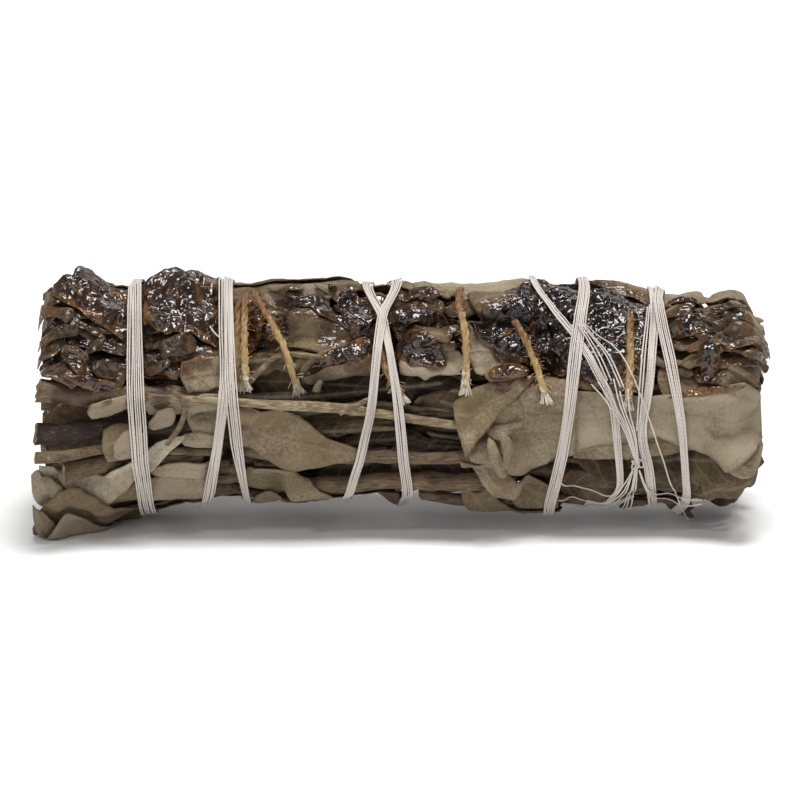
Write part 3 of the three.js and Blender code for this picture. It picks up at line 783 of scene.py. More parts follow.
# %% Finishes
class Finish:
    """A material with one Principled shader and the nodes that feed it."""

    def __init__(self, name):
        self.material = bpy.data.materials.new(name)
        self.material.use_nodes = True
        self.tree = self.material.node_tree
        self.shader = self.tree.nodes["Principled BSDF"]
        place = self.node("ShaderNodeTexCoord", {}, {}, "Object")
        scale = {"operation": "SCALE"}
        self.place = self.node("ShaderNodeVectorMath", scale, {0: place, "Scale": 1 / MM})

    def put(self, socket, value):
        if isinstance(value, Value):
            self.tree.links.new(value.socket, socket)
        else:
            socket.default_value = value

    def node(self, kind, settings, sockets, output=0):
        made = self.tree.nodes.new(kind)
        for name, value in settings.items():
            setattr(made, name, value)
        for name, value in sockets.items():
            self.put(made.inputs[name], value)
        return Value(self, made.outputs[output])

    def attribute(self, name):
        return self.node("ShaderNodeAttribute", {"attribute_name": name}, {}, "Fac")

    def noise(self, size, detail=3.0, rough=0.55, stretch=None):
        """Cloudy noise whose blots are about size millimetres across."""
        where = self.place
        if stretch:
            where = self.node("ShaderNodeVectorMath", {"operation": "MULTIPLY"},
                              {0: where, 1: stretch})
        sockets = {"Vector": where, "Scale": 1 / size, "Detail": detail, "Roughness": rough}
        return self.node("ShaderNodeTexNoise", {}, sockets, "Fac")

    def cracks(self, size):
        """Distance from the edges of cells about size millimetres across."""
        settings = {"feature": "DISTANCE_TO_EDGE"}
        sockets = {"Vector": self.place, "Scale": 1 / size}
        return self.node("ShaderNodeTexVoronoi", settings, sockets, "Distance")

    def ease(self, value, start, end):
        """A mask from 0 at start to 1 at end."""
        settings = {"interpolation_type": "SMOOTHSTEP"}
        sockets = {"Value": value, "From Min": start, "From Max": end}
        return self.node("ShaderNodeMapRange", settings, sockets)

    def mix(self, factor, first, second):
        settings = {"data_type": "RGBA"}
        return self.node("ShaderNodeMix", settings, {0: factor, 6: first, 7: second}, 2)

    def bump(self, height, distance):
        sockets = {"Height": height, "Distance": distance * MM, "Strength": 1.0}
        return self.node("ShaderNodeBump", {}, sockets)

    def surface(self, **sockets):
        for name, value in sockets.items():
            self.put(self.shader.inputs[name.replace("_", " ")], value)
        return self.material

    def glaze(self, factor, **sockets):
        """A second Principled shader laid over the first where the factor is 1."""
        sockets = {name.replace("_", " "): value for name, value in sockets.items()}
        over = self.node("ShaderNodeBsdfPrincipled", {}, sockets)
        under = Value(self, self.shader.outputs[0])
        mixed = self.node("ShaderNodeMixShader", {}, {0: factor, 1: under, 2: over})
        self.put(self.tree.nodes["Material Output"].inputs["Surface"], mixed)


print("finishes are measured in units of", MM, "m")

# %% [markdown]
# ## Leaf finish
# Dried sage is grey-green to brown and felted: short hairs scatter light, so it has no shine at
# all until resin soaks it. Thin resin turns it amber, thick resin almost black and wet. The tone of
# each leaf goes from dark brown to pale. Below a tone of 0 it fades to a near-black painted shade,
# for leaves deep in the bunch, and above 1.1 to a pale painted light, for leaves lying in shade.
# Fine felt, the rib and the veins are bump, which is enough at their size; the folds themselves are
# in the mesh.

# %% Leaf finish
LEAF = {
    # The deep colour is painted shade, and the palest colour is painted light for leaves in shade.
    "deep": linear(40, 30, 21),
    "brown": linear(82, 65, 46),
    "middle": linear(112, 95, 70),
    "pale": linear(148, 135, 114),
    "painted_light": linear(190, 177, 156),
    "olive": linear(114, 102, 72),
    "edge": linear(66, 50, 34),
    "stained": linear(76, 58, 38),
    "golden": linear(126, 88, 40),
    "amber": linear(96, 67, 34),
    "soaked": linear(34, 24, 17),
}


def leaf_finish():
    leaf = Finish("sage_leaf")
    tone = leaf.attribute("tone")
    resin = leaf.attribute("resin")
    rim = leaf.attribute("rim")
    blotch = leaf.noise(3.2)
    felt = leaf.noise(0.28, detail=3.0, rough=0.7)
    net = leaf.ease(leaf.cracks(0.9), 0.0, 0.12)
    mottle = leaf.noise(0.6, detail=3.0, rough=0.7)
    beside = leaf.node("ShaderNodeMath", {"operation": "ABSOLUTE"}, {0: leaf.attribute("across")})
    rib = 1 - leaf.ease(beside, 0.05, 0.45)
    slope = (leaf.attribute("along") - beside * 0.8) * 2.6 + blotch * 5
    veins = leaf.ease(leaf.node("ShaderNodeMath", {"operation": "SINE"}, {0: slope}), 0.6, 1.0)
    shade = tone + (blotch - 0.5) * 0.5 + (felt - 0.5) * 0.9 + (mottle - 0.5) * 0.7
    # Tones below 0 fade to the deep colour: painted shade for leaves inside the bunch and in its recesses.
    colour = leaf.mix(leaf.ease(shade, -0.6, 0.0), LEAF["deep"], LEAF["brown"])
    colour = leaf.mix(leaf.ease(shade, 0.0, 0.5), colour, LEAF["middle"])
    colour = leaf.mix(leaf.ease(shade, 0.5, 1.0), colour, LEAF["pale"])
    # Tones above 1.1 fade to a pale painted light, which brightens leaves lying in shade.
    colour = leaf.mix(leaf.ease(shade, 1.1, 1.7), colour, LEAF["painted_light"])
    colour = leaf.mix(leaf.ease(leaf.noise(9.0), 0.5, 0.7) * 0.45, colour, LEAF["olive"])
    flecks = leaf.ease(leaf.noise(0.7, detail=4.0, rough=0.7), 0.62, 0.72)
    colour = leaf.mix(flecks * 0.45, colour, LEAF["edge"])
    worn = leaf.ease(rim + (blotch - 0.5) * 0.3, 0.86, 1.02)
    colour = leaf.mix(worn * 0.3 + (1 - net) * 0.04, colour, LEAF["edge"])
    colour = leaf.mix(rib * 0.25 + veins * 0.12, colour, LEAF["pale"])
    wet = resin * (0.5 + leaf.noise(1.6))
    thin = leaf.ease(wet, 0.15, 0.5)
    glossy = thin * (0.35 + 0.55 * leaf.ease(leaf.noise(0.9), 0.4, 0.6))
    thick = leaf.ease(wet + (leaf.noise(2.2) - 0.5) * 1.6, 0.4, 1.0)
    soaked = leaf.mix(thick, LEAF["amber"], LEAF["soaked"])
    soaked = leaf.mix(worn * 0.4, soaked, LEAF["golden"])
    glint = leaf.noise(1.1, detail=1.0, stretch=(0.6, 1.0, 1.0)) + leaf.noise(0.5, detail=0.0) * 0.2
    leaf.glaze(
        glossy,
        Base_Color=soaked,
        Roughness=0.08 + mottle * 0.16,
        Specular_IOR_Level=0.6,
        Normal=leaf.bump(glint, 0.5),
    )
    grain = felt * 0.8 + net * 0.06 + mottle * 0.5 + blotch * 0.6 + rib * 0.7 + veins * 0.35
    return leaf.surface(
        Base_Color=leaf.mix(thin * 0.8, colour, LEAF["stained"]),
        Roughness=0.9,
        Specular_IOR_Level=0.25,
        Sheen_Weight=0.08,
        Sheen_Roughness=0.5,
        Normal=leaf.bump(grain, 0.16),
    )


leaf_material = leaf_finish()
print("made", leaf_material.name)

# %% [markdown]
# ## Stem finish
# Bark runs in long fibres, so its noise is stretched along the bunch. A picture of bark would need
# unwrapping, and noise doesn't. The attribute rim counts the rings of a cut end inwards from 1, so
# the bark gives way to pale wood there. The innermost rings, sunk in where the pith has dried out,
# are darkened as painted shade of that hole.

# %% Stem finish
STEM = {
    "dark": linear(40, 29, 20),
    "middle": linear(102, 84, 62),
    "pale": linear(158, 142, 110),
    "pith": linear(150, 126, 88),
    "heart": linear(104, 82, 54),
    "resin": linear(58, 32, 16),
}


def stem_finish():
    stem = Finish("sage_stem")
    tone = stem.attribute("tone")
    cut = stem.attribute("rim")
    fibre = stem.noise(0.25, detail=4.0, rough=0.65, stretch=(0.12, 1.0, 1.0))
    blotch = stem.noise(2.6)
    shade = tone + (fibre - 0.5) * 1.5 + (blotch - 0.5) * 0.9
    colour = stem.mix(stem.ease(shade, 0.0, 0.5), STEM["dark"], STEM["middle"])
    colour = stem.mix(stem.ease(shade, 0.5, 1.0), colour, STEM["pale"])
    grain = stem.noise(0.3, detail=3.0)
    pith = stem.ease(cut + (grain - 0.5) * 0.5, 0.45, 0.75)
    wood = stem.mix(stem.ease(grain + blotch, 0.7, 1.3), STEM["heart"], STEM["pith"])
    # The sunken innermost rings are darkened: painted shade of the hole.
    wood = stem.mix(stem.ease(cut + (grain - 0.5) * 0.8, 2.7, 3.4) * 0.45, wood, STEM["dark"])
    colour = stem.mix(pith, colour, wood)
    wet = stem.ease(stem.attribute("resin") + (blotch - 0.5) * 0.5, 0.35, 0.75)
    colour = stem.mix(wet * 0.85, colour, STEM["resin"])
    return stem.surface(
        Base_Color=colour,
        Roughness=0.78 - wet * 0.5,
        Coat_Weight=wet * 0.12,
        Coat_Roughness=0.2,
        Specular_IOR_Level=0.4,
        Normal=stem.bump(fibre + blotch * 0.4 + grain * 0.3, 0.14),
    )


stem_material = stem_finish()
print("made", stem_material.name)

# %% [markdown]
# ## Core stems
# Six stems run through the heart of the bunch, one on the axis and five round it. They are hidden
# but for their cut ends. Straight copies would look like dowels, so each has its own thickness,
# tone and length. At the right they stop short, because the leaves there reach past them.

# %% Core stems
CORE = {"count": 5, "pitch": 3.8, "radius": 1.75, "slim": (0.6, 0.95), "start": 33.0}
STEM_ENDS = {"left": (0.6, 5.0), "right": (5.0, 9.0)}
core_random = np.random.default_rng(SEED)


def stem_reach():
    """The two ends of an inner stem, cut by hand and so not quite level."""
    left = core_random.uniform(*STEM_ENDS["left"])
    right = core_random.uniform(*STEM_ENDS["right"])
    return -HALF_LENGTH + left, HALF_LENGTH - right


core_solid = inner_stem(
    *stem_reach(), angle=0.0, pitch=0.0, radius=CORE_STEM_RADIUS, tone=0.45, seed=11)
make_piece("stem_core_1", stem_material, [core_solid])
for n in range(CORE["count"]):
    core_solid = inner_stem(
        *stem_reach(), angle=CORE["start"] + 360 / CORE["count"] * n, pitch=CORE["pitch"],
        radius=CORE["radius"] * core_random.uniform(*CORE["slim"]), tone=0.35 + 0.08 * n, seed=20 + n)
    make_piece(f"stem_core_{n + 2}", stem_material, [core_solid])
print("laid", CORE["count"] + 1, "core stems")

# %% [markdown]
# ## Leaves of the sprigs
# A sprig is a stem with leaves pressed along it. Each carries long inner leaves, and slivers:
# dry leaves break into narrow rolled strips, which slide into the gaps between the stems. A sliver
# could be dropped by simulation. Trying a few random places and taking the lowest gives the same
# filled hollows in no time.

# %% Sprig leaves
# Tones below 0 darken inner leaves and slivers with painted shade, as the hollows between the stems lie in
# shade.
SPRIG_LEAF = {"halves": ((-50.5, 1.0), (-1.0, 50.5)), "sway": 9, "reach": (-2.5, 0.5),
              "widths": (0.75, 1.15), "roll": (15, 70), "tone": (-0.6, 0.3), "tuck": (0.1, 0.8)}
SLIVER = {"count": 10, "tries": 10, "length": (14.0, 44.0), "width": (0.9, 2.6), "bed": 11.2,
          "end": 48, "turn": 22, "sway": 9, "roll": (60, 220), "tone": (-0.8, 0.3)}
sprig_random = np.random.default_rng(SEED + 1)


def sprig_leaf(angle, ring, seed):
    """Two inner leaves end to end, from one end of the bunch to the other."""
    halves = []
    for start, end in SPRIG_LEAF["halves"]:
        sway = sprig_random.uniform(-SPRIG_LEAF["sway"], SPRIG_LEAF["sway"], 3)
        reach = sprig_random.uniform(*SPRIG_LEAF["reach"], 2)
        spine = [(start - reach[0], angle + sway[0]), ((start + end) / 2, angle + sway[1]),
                 (end + reach[1], angle + sway[2])]
        widths = ring["width"] * sprig_random.uniform(*SPRIG_LEAF["widths"], 3)
        halves.append(leaf(
            seed + len(halves), spine=spine, widths=widths,
            roll=sprig_random.uniform(*SPRIG_LEAF["roll"]), ripple=0.5, crumple=0.5,
            bed=ring["bed"], tone=sprig_random.uniform(*SPRIG_LEAF["tone"]), ragged=0.14,
            tuck=sprig_random.uniform(*SPRIG_LEAF["tuck"])))
    return halves


def sliver_spine(angle):
    """A random line for a sliver near a sprig."""
    length = sprig_random.uniform(*SLIVER["length"])
    middle = sprig_random.uniform(-SLIVER["end"] + length / 2, SLIVER["end"] - length / 2)
    turn = angle + sprig_random.uniform(-SLIVER["turn"], SLIVER["turn"])
    turn = turn + sprig_random.uniform(-SLIVER["sway"], SLIVER["sway"], 3)
    return [(middle - length / 2, turn[0]), (middle, turn[1]), (middle + length / 2, turn[2])]


def lowest(spines):
    """The spine with the lowest ground, since strips of leaf fill hollows first."""
    ground = outside.ground(LEAF_REACH)
    heights = [read_grid(ground, *np.transpose(spine)).max() for spine in spines]
    return spines[int(np.argmin(heights))]


def sliver(angle, seed):
    """A narrow strip of leaf, rolled along its length, that fills the gaps between stems."""
    spine = lowest([sliver_spine(angle) for _ in range(SLIVER["tries"])])
    wide = sprig_random.uniform(*SLIVER["width"])
    return leaf(seed, spine=spine, widths=(wide * 0.6, wide, wide * 0.5),
                roll=sprig_random.uniform(*SLIVER["roll"]), ripple=0.15, bed=SLIVER["bed"],
                tone=sprig_random.uniform(*SLIVER["tone"]), ragged=0.1)


print("each sprig carries", SLIVER["count"], "slivers")

# %% [markdown]
# ## Sprigs
# Nine sprigs stand round the core. Their stems come first, then their leaves in two rings, then
# the slivers. Three leaves, dark with painted shade, are added last, where light would otherwise pass
# right through the bunch. Stem and leaves differ in finish, so a sprig is two pieces.

# %% Sprigs
SPRIG = {"count": 9, "pitch": 7.6, "radius": 1.7, "slim": (0.55, 1.0), "start": 20.0}
SPRIG_RINGS = (
    {"bed": 9.3, "width": 8.0, "turn": 0.0},
    {"bed": 10.2, "width": 8.6, "turn": 20.0},
)
# The fillers are dark sheets of painted shade: their low tone stands in for the shadow inside the bunch.
SHADE_FILLER = dict(widths=(7, 8, 7), roll=0, crumple=0.1, crease=0.0, bed=SLIVER["bed"], tone=-0.4)
SHADE_FILLER_PLACES = {
    2: [(330, 300), (372, 298), (420, 300)],
    8: [(320, 490), (400, 488), (480, 490)],
    9: [(390, 466), (445, 468), (520, 472)],
}
sprig_angles = SPRIG["start"] + 360 / SPRIG["count"] * np.arange(SPRIG["count"])
for n, sprig_angle in enumerate(sprig_angles):
    sprig_stem = inner_stem(
        *stem_reach(), angle=sprig_angle, pitch=SPRIG["pitch"],
        radius=SPRIG["radius"] * core_random.uniform(*SPRIG["slim"]), tone=0.3 + 0.07 * n, seed=40 + n)
    make_piece(f"sprig_{n + 1}", stem_material, [sprig_stem], "stem")
sprig_leaves = [[] for _ in sprig_angles]
for level, ring in enumerate(SPRIG_RINGS):
    for n, sprig_angle in enumerate(sprig_angles):
        seed = 100 + 40 * level + 3 * n
        sprig_leaves[n].extend(sprig_leaf(sprig_angle + ring["turn"], ring, seed))
for n, solids in enumerate(sprig_leaves):
    solids.extend(sliver(sprig_angles[n], 1200 + 20 * n + m) for m in range(SLIVER["count"]))
for n, pixels in SHADE_FILLER_PLACES.items():
    sprig_leaves[n - 1].append(leaf(1400 + n, pixels=pixels, **SHADE_FILLER))
for n, solids in enumerate(sprig_leaves):
    make_piece(f"sprig_{n + 1}", leaf_material, solids, "leaves")
print("laid", len(sprig_leaves), "sprigs:", bunch_girth())

# %% [markdown]
# ## Back leaves
# The back and the underside aren't in the photograph, so seven clusters cover them by a seeded
# rule. Leaves dry curled over each other: a cluster is a broad leaf with seven smaller ones, folded
# and rolled, in the hollows over it. Placing each by hand would be no truer.

# %% Back leaves
BACK = {"count": 7, "first": 106.0, "last": 250.0, "places": (-25.0, 24.0), "bed": 12.0,
        "length": 46.0, "end": 50, "lean": 4, "broad": (8, 14, 6)}
BACK_FOLDED = {"count": 7, "tries": 8, "length": (10, 30), "width": (2.5, 7.5), "stalk": (0.45, 0.9),
               "tip": 0.15, "roll": (10, 130), "fold": (0.2, 0.9), "drift": 0.3, "turn": 16, "sway": 6}
back_random = np.random.default_rng(SEED + 2)


def back_spine(place, angle, length):
    """A random line for a leaf of the back, pointing either way along the bunch."""
    drift, turn, sway = BACK_FOLDED["drift"], BACK_FOLDED["turn"], BACK_FOLDED["sway"]
    middle = place + back_random.uniform(-drift, drift) * BACK["length"]
    middle = np.clip(middle, length / 2 - BACK["end"], BACK["end"] - length / 2)
    around = angle + back_random.uniform(-turn, turn) + back_random.uniform(-sway, sway, 3)
    along = np.array([-0.5, 0.0, 0.5]) * length * back_random.choice([-1, 1])
    return list(zip(middle + along, around))


def back_cluster(place, angle, seed):
    """A broad leaf, with folded and rolled ones laid in the hollows over it."""
    reach = BACK["length"] / 2
    broad = [(place - reach, angle - BACK["lean"]), (place, angle), (place + reach, angle + BACK["lean"])]
    solids = [leaf(seed, spine=broad, widths=BACK["broad"], roll=10, ripple=0.6, crumple=0.5,
                   crease=0.04, bed=BACK["bed"], tone=back_random.uniform(0.3, 0.8), ragged=0.09,
                   blunt=8)]
    for n in range(BACK_FOLDED["count"]):
        length = back_random.uniform(*BACK_FOLDED["length"])
        spine = lowest([back_spine(place, angle, length) for _ in range(BACK_FOLDED["tries"])])
        width = back_random.uniform(*BACK_FOLDED["width"])
        shape = np.array([back_random.uniform(*BACK_FOLDED["stalk"]), 1.0, BACK_FOLDED["tip"]])
        solids.append(leaf(
            seed + n + 1, spine=spine, widths=width * shape,
            roll=back_random.uniform(*BACK_FOLDED["roll"]),
            fold=back_random.uniform(*BACK_FOLDED["fold"]), ripple=0.4, crumple=0.4, crease=0.06,
            bed=BACK["bed"], tone=back_random.uniform(0.1, 1.2), ragged=0.09))
    return solids


for n, back_angle in enumerate(np.linspace(BACK["first"], BACK["last"], BACK["count"])):
    back_place = BACK["places"][n % 2] + back_random.uniform(-2, 2)
    make_piece(f"leaf_back_{n + 1}", leaf_material,
               back_cluster(back_place, back_angle, 1600 + 20 * n))
print("laid", BACK["count"], "back leaves:", bunch_girth())

# %% [markdown]
# ## Stems that show on the outside
# Loose stems lie between the leaves on the front, some with a thinner twig beside them. Their places
# are read off the photograph, so each is a short list of pixels, a thickness and a tone. Six are
# laid now. The long pale one comes later, because it lies over the leaves of the middle.

# %% Loose stems
LOOSE_STEM_SEED = 61
LOOSE_STEMS = {
    "stem_front_brown": [
        dict(pixels=[(242, 457), (300, 460), (360, 459), (505, 452)], radius=1.25, tone=0.38,
             scars=(0.2, 0.55)),
        dict(pixels=[(256, 474), (290, 473), (330, 472)], radius=0.55, tone=0.25),
    ],
    "stem_front_low": [
        dict(pixels=[(292, 487), (340, 485), (400, 481), (515, 478)], radius=1.45, tone=0.42,
             scars=(0.62,)),
        dict(pixels=[(420, 492), (520, 494), (585, 497)], radius=0.9, tone=0.35),
    ],
    "stem_left_short": [
        dict(pixels=[(68, 471), (92, 470), (140, 468), (205, 470)], radius=1.35, tone=0.35,
             scars=(0.35,)),
        dict(pixels=[(150, 458), (185, 458), (225, 460)], radius=0.7, tone=0.45),
    ],
    "stem_left_dark": [
        dict(pixels=[(41, 433), (75, 434), (150, 434), (245, 436)], radius=1.5, tone=0.0,
             scars=(0.2, 0.5)),
        dict(pixels=[(41, 450), (75, 450), (150, 449)], radius=0.75, tone=0.4),
    ],
    "stem_left_thick": [
        dict(pixels=[(44, 390), (75, 393), (120, 396), (218, 397)], radius=1.8, tone=0.55,
             scars=(0.3, 0.75)),
    ],
    # These stems lie in the recess under the right end; their dark tone is painted shade of that recess.
    "stem_right_end": [
        dict(pixels=[(600, 478), (680, 478), (747, 476)], radius=1.1, tone=0.15),
        dict(pixels=[(640, 492), (690, 490), (735, 486)], radius=0.8, tone=0.3),
    ],
}
stem_seeds = itertools.count(LOOSE_STEM_SEED)
for node, stems in LOOSE_STEMS.items():
    make_piece(node, stem_material, [laid_stem(seed=next(stem_seeds), **stem) for stem in stems])
print("laid", len(LOOSE_STEMS), "loose stems:", bunch_girth())

# %% [markdown]
# ## Scraps, and laying a list of leaves
# From here on leaves are listed by node, in the order in which they are laid. Where the photograph
# shows a mass of small crumpled bits, tracing each would be endless, so scraps are strewn by a
# seeded rule over the part of the picture where that node shows.

# %% Scraps
SCRAP = {"reach": (1.2, 3.6), "lean": 0.7, "width": (1.2, 3.0), "shape": (0.4, 1.2), "roll": (20, 130),
         "fold": (0, 0.7), "tone": (0.0, 0.7)}
SCRAP_AREAS = {
    "leaf_left_top": {"columns": (56, 214), "rows": (274, 376), "count": 16},
    "leaf_top_left": {"columns": (250, 345), "rows": (286, 322), "count": 12},
    "leaf_top_middle": {"columns": (395, 455), "rows": (284, 345), "count": 8},
    "leaf_end_top": {"columns": (668, 750), "rows": (300, 330), "count": 12},
    "leaf_end_front": {"columns": (668, 755), "rows": (335, 378), "count": 10},
}
scrap_random = np.random.default_rng(SEED + 4)


def scraps(node):
    """Small crumpled bits of leaf, strewn over the part of the picture where a node shows."""
    if node not in SCRAP_AREAS:
        return
    area = SCRAP_AREAS[node]
    for _ in range(area["count"]):
        column = scrap_random.uniform(*area["columns"])
        place, angle = spot(column, scrap_random.uniform(*area["rows"]))
        reach = scrap_random.uniform(*SCRAP["reach"])
        lean = math.degrees(reach / BODY_RADIUS) * scrap_random.uniform(-SCRAP["lean"], SCRAP["lean"])
        wide = scrap_random.uniform(*SCRAP["width"])
        yield dict(
            spine=[(place - reach, angle - lean), (place, angle), (place + reach, angle + lean)],
            widths=wide * scrap_random.uniform(*SCRAP["shape"], 3),
            roll=scrap_random.uniform(*SCRAP["roll"]), fold=scrap_random.uniform(*SCRAP["fold"]),
            tone=scrap_random.uniform(*SCRAP["tone"]), ragged=0.1)


def lay_leaves(leaves, first_seed):
    """Lay each node's leaves in turn, and make one piece of each node."""
    for n, (node, blades) in enumerate(leaves.items()):
        solids = []
        for m, entry in enumerate([*blades, *scraps(node)]):
            solids.append(leaf(first_seed + 20 * n + m, **entry))
        make_piece(node, leaf_material, solids)
    print("laid", ", ".join(leaves), "-", bunch_girth())


print("scraps go on", len(SCRAP_AREAS), "nodes")

# %% [markdown]
# ## Folds at the top of the left end
# The left end is the widest. On top, leaf after leaf was folded lengthwise and soaked in resin, so
# it reads as a stack of ridges, one of them arched over a dark hollow. A height map could carry
# such ridges, but not their overhanging edges, so each fold is a leaf with one edge turned down.

# %% Left top leaves
LEFT_TOP_LEAVES = {
    "leaf_left_top": [
        blade([(44, 318), (120, 318), (224, 318)], (15, 16, 14), roll=0, tone=0.2, bed=11.6),
        ridge([(43, 358), (62, 352), (80, 364), (97, 386)], (2, 3, 3.4, 2.6), roll=60, tone=0.4),
        blade([(45, 370), (66, 373), (84, 385)], (2, 2.6, 2), roll=60, tone=0.7),
        blade([(98, 372), (112, 366), (132, 368)], (2.5, 4.5, 4.5), roll=30, lips=(0, -50), tone=0.4),
        blade([(146, 356), (180, 358), (222, 368)], (3, 5, 4), roll=40, tone=0.55),
        blade([(146, 334), (172, 333), (192, 344), (222, 358)], (3, 4, 4.4, 3.4), roll=90,
              fold=0.6, tone=0.5),
        blade([(44, 336), (66, 328), (90, 328), (107, 332), (133, 345)], (2.2, 3.4, 3.8, 3.4, 2.6),
              roll=50, fold=0.5, lips=(-50, 0), lift=(0, 0.5, 1.0, 0.6, 0), tone=0.6),
        blade([(41, 355), (54, 347), (68, 334)], (1.2, 2.4, 2), roll=90, tone=0.3),
        ridge([(146, 318), (180, 316), (222, 318)], (3, 4.4, 4), roll=60, fold=0.6, tone=0.4),
        blade([(60, 321), (98, 314), (134, 308)], (2.4, 4.2, 4), roll=60, fold=0.6, lips=(-45, 0),
              tone=0.3),
        blade([(146, 304), (180, 301), (222, 304)], (3, 4.4, 4), roll=80, fold=0.6, lips=(-30, 0),
              tone=0.3),
        blade([(45, 308), (74, 303), (102, 305)], (2.6, 4.4, 3), roll=60, fold=0.4, lips=(-45, 0),
              tone=0.5),
        blade([(96, 290), (112, 287), (134, 290)], (3, 4.6, 4), roll=25, crumple=0.15, crease=0.03,
              tone=0.2),
        ridge([(46, 288), (70, 281), (98, 283)], (3.4, 5, 4), roll=70, fold=0.3, tone=0.5),
        blade([(146, 290), (170, 282), (200, 280), (221, 284)], (4, 5.6, 5.6, 4), roll=110, tone=0.4),
        blade([(147, 349), (160, 360), (180, 379)], (0.9, 1.1, 1.3), roll=160, tone=0.2, thickness=0.5),
    ],
}
lay_leaves(LEFT_TOP_LEAVES, 400)

# %% [markdown]
# ## Leaves at the front of the left end
# Below the ridges lie short dry leaves in all directions. A smooth leaf sweeps up to the right from
# a rolled corner, and a pointed fold rests on the floor. Those two are seen whole, so they are
# given by their edges and the rest by spines.

# %% Left front leaves
# Tones near and above 1.1 bring in the painted light of the leaf finish, which brightens this low front
# where it lies in shade.
LEFT_FRONT_LEAVES = {
    "leaf_left_front": [
        blade([(184, 378), (205, 373), (228, 369)], (4, 5.5, 4), roll=40, tone=0.75),
        blade([(148, 408), (170, 406), (190, 410)], (2.4, 3.6, 2), roll=60, tone=0.95, lips=(-30, 0)),
        blade([(190, 424), (206, 420), (228, 424)], (4, 6, 5), roll=40, tone=0.85),
        blade([(152, 432), (168, 420), (176, 409)], (1.2, 3.4, 1.2), roll=70, fold=0.6, tone=0.95),
        blade([(190, 410), (206, 404), (226, 403)], (1.6, 2.6, 2.2), roll=60, fold=0.4, tone=1.0),
        blade([(183, 444), (200, 442), (224, 445)], (1.6, 2.6, 2), roll=50, tone=0.85),
    ],
    "leaf_left_middle": [
        blade([(106, 446), (124, 443), (146, 449)], (4.6, 5.4, 4), roll=50, fold=0.5, tone=0.6,
              lips=(-20, 20), blunt=20),
        blade([(118, 452), (132, 444), (148, 440)], (1.4, 3.6, 3), roll=40, tone=0.95),
        blade([(92, 412), (112, 407), (138, 399)], (3, 4.4, 2.4), roll=190, tone=1.1),
    ],
    "leaf_left_curl": [
        blade([(96, 514), (150, 507), (212, 502)], (5, 8, 7), roll=30, tone=0.7, bed=13.6),
        blade([(140, 497), (180, 492), (216, 491)], (3, 5, 4), roll=50, tone=0.85),
        blade([(152, 478), (180, 474), (214, 475)], (1.6, 3, 2.6), roll=60, tone=0.95),
        # This curled leaf lies in the shade of the foot leaf, so its tone of 1.4 brings in painted light.
        dict(upper=[(42, 484), (62, 487), (84, 487), (100, 480), (118, 467), (140, 453), (187, 436)],
             lower=[(42, 497), (62, 497), (86, 504), (109, 505), (130, 496), (150, 478), (187, 440)],
             roll=25, lips=(20, 30), tone=1.4, crumple=0.1, ripple=0.3, crease=0.05),
        dict(upper=[(34, 492), (41, 484), (52, 483), (66, 488)],
             lower=[(36, 511), (43, 518), (54, 516), (66, 502)], roll=90, tone=0.85),
    ],
    "leaf_left_foot": [
        blade([(46, 506), (80, 514), (150, 520)], (9, 10, 6), roll=0, crumple=0.1, tone=0.4, bed=15.6),
        blade([(40, 506), (48, 515), (60, 524)], (1.6, 3, 2), roll=90, tone=0.6),
        dict(upper=[(48, 519), (60, 510), (70, 503), (84, 507), (101, 516), (122, 527)],
             lower=[(49, 524), (61, 530), (72, 532), (88, 531), (104, 531), (122, 530)], roll=40,
             fold=0.5, tone=1.05, bed=16.0, crumple=0.1),
    ],
}
lay_leaves(LEFT_FRONT_LEAVES, 420)

# %% [markdown]
# ## Leaves in the middle
# Between the second tie and the twine a smooth panel lies over the brown stems, and above it is a
# dark gap that shows the heart of the bunch. On top are short curled leaves and one grey panel. The
# gap isn't cut into anything: it is simply where no leaf is listed.

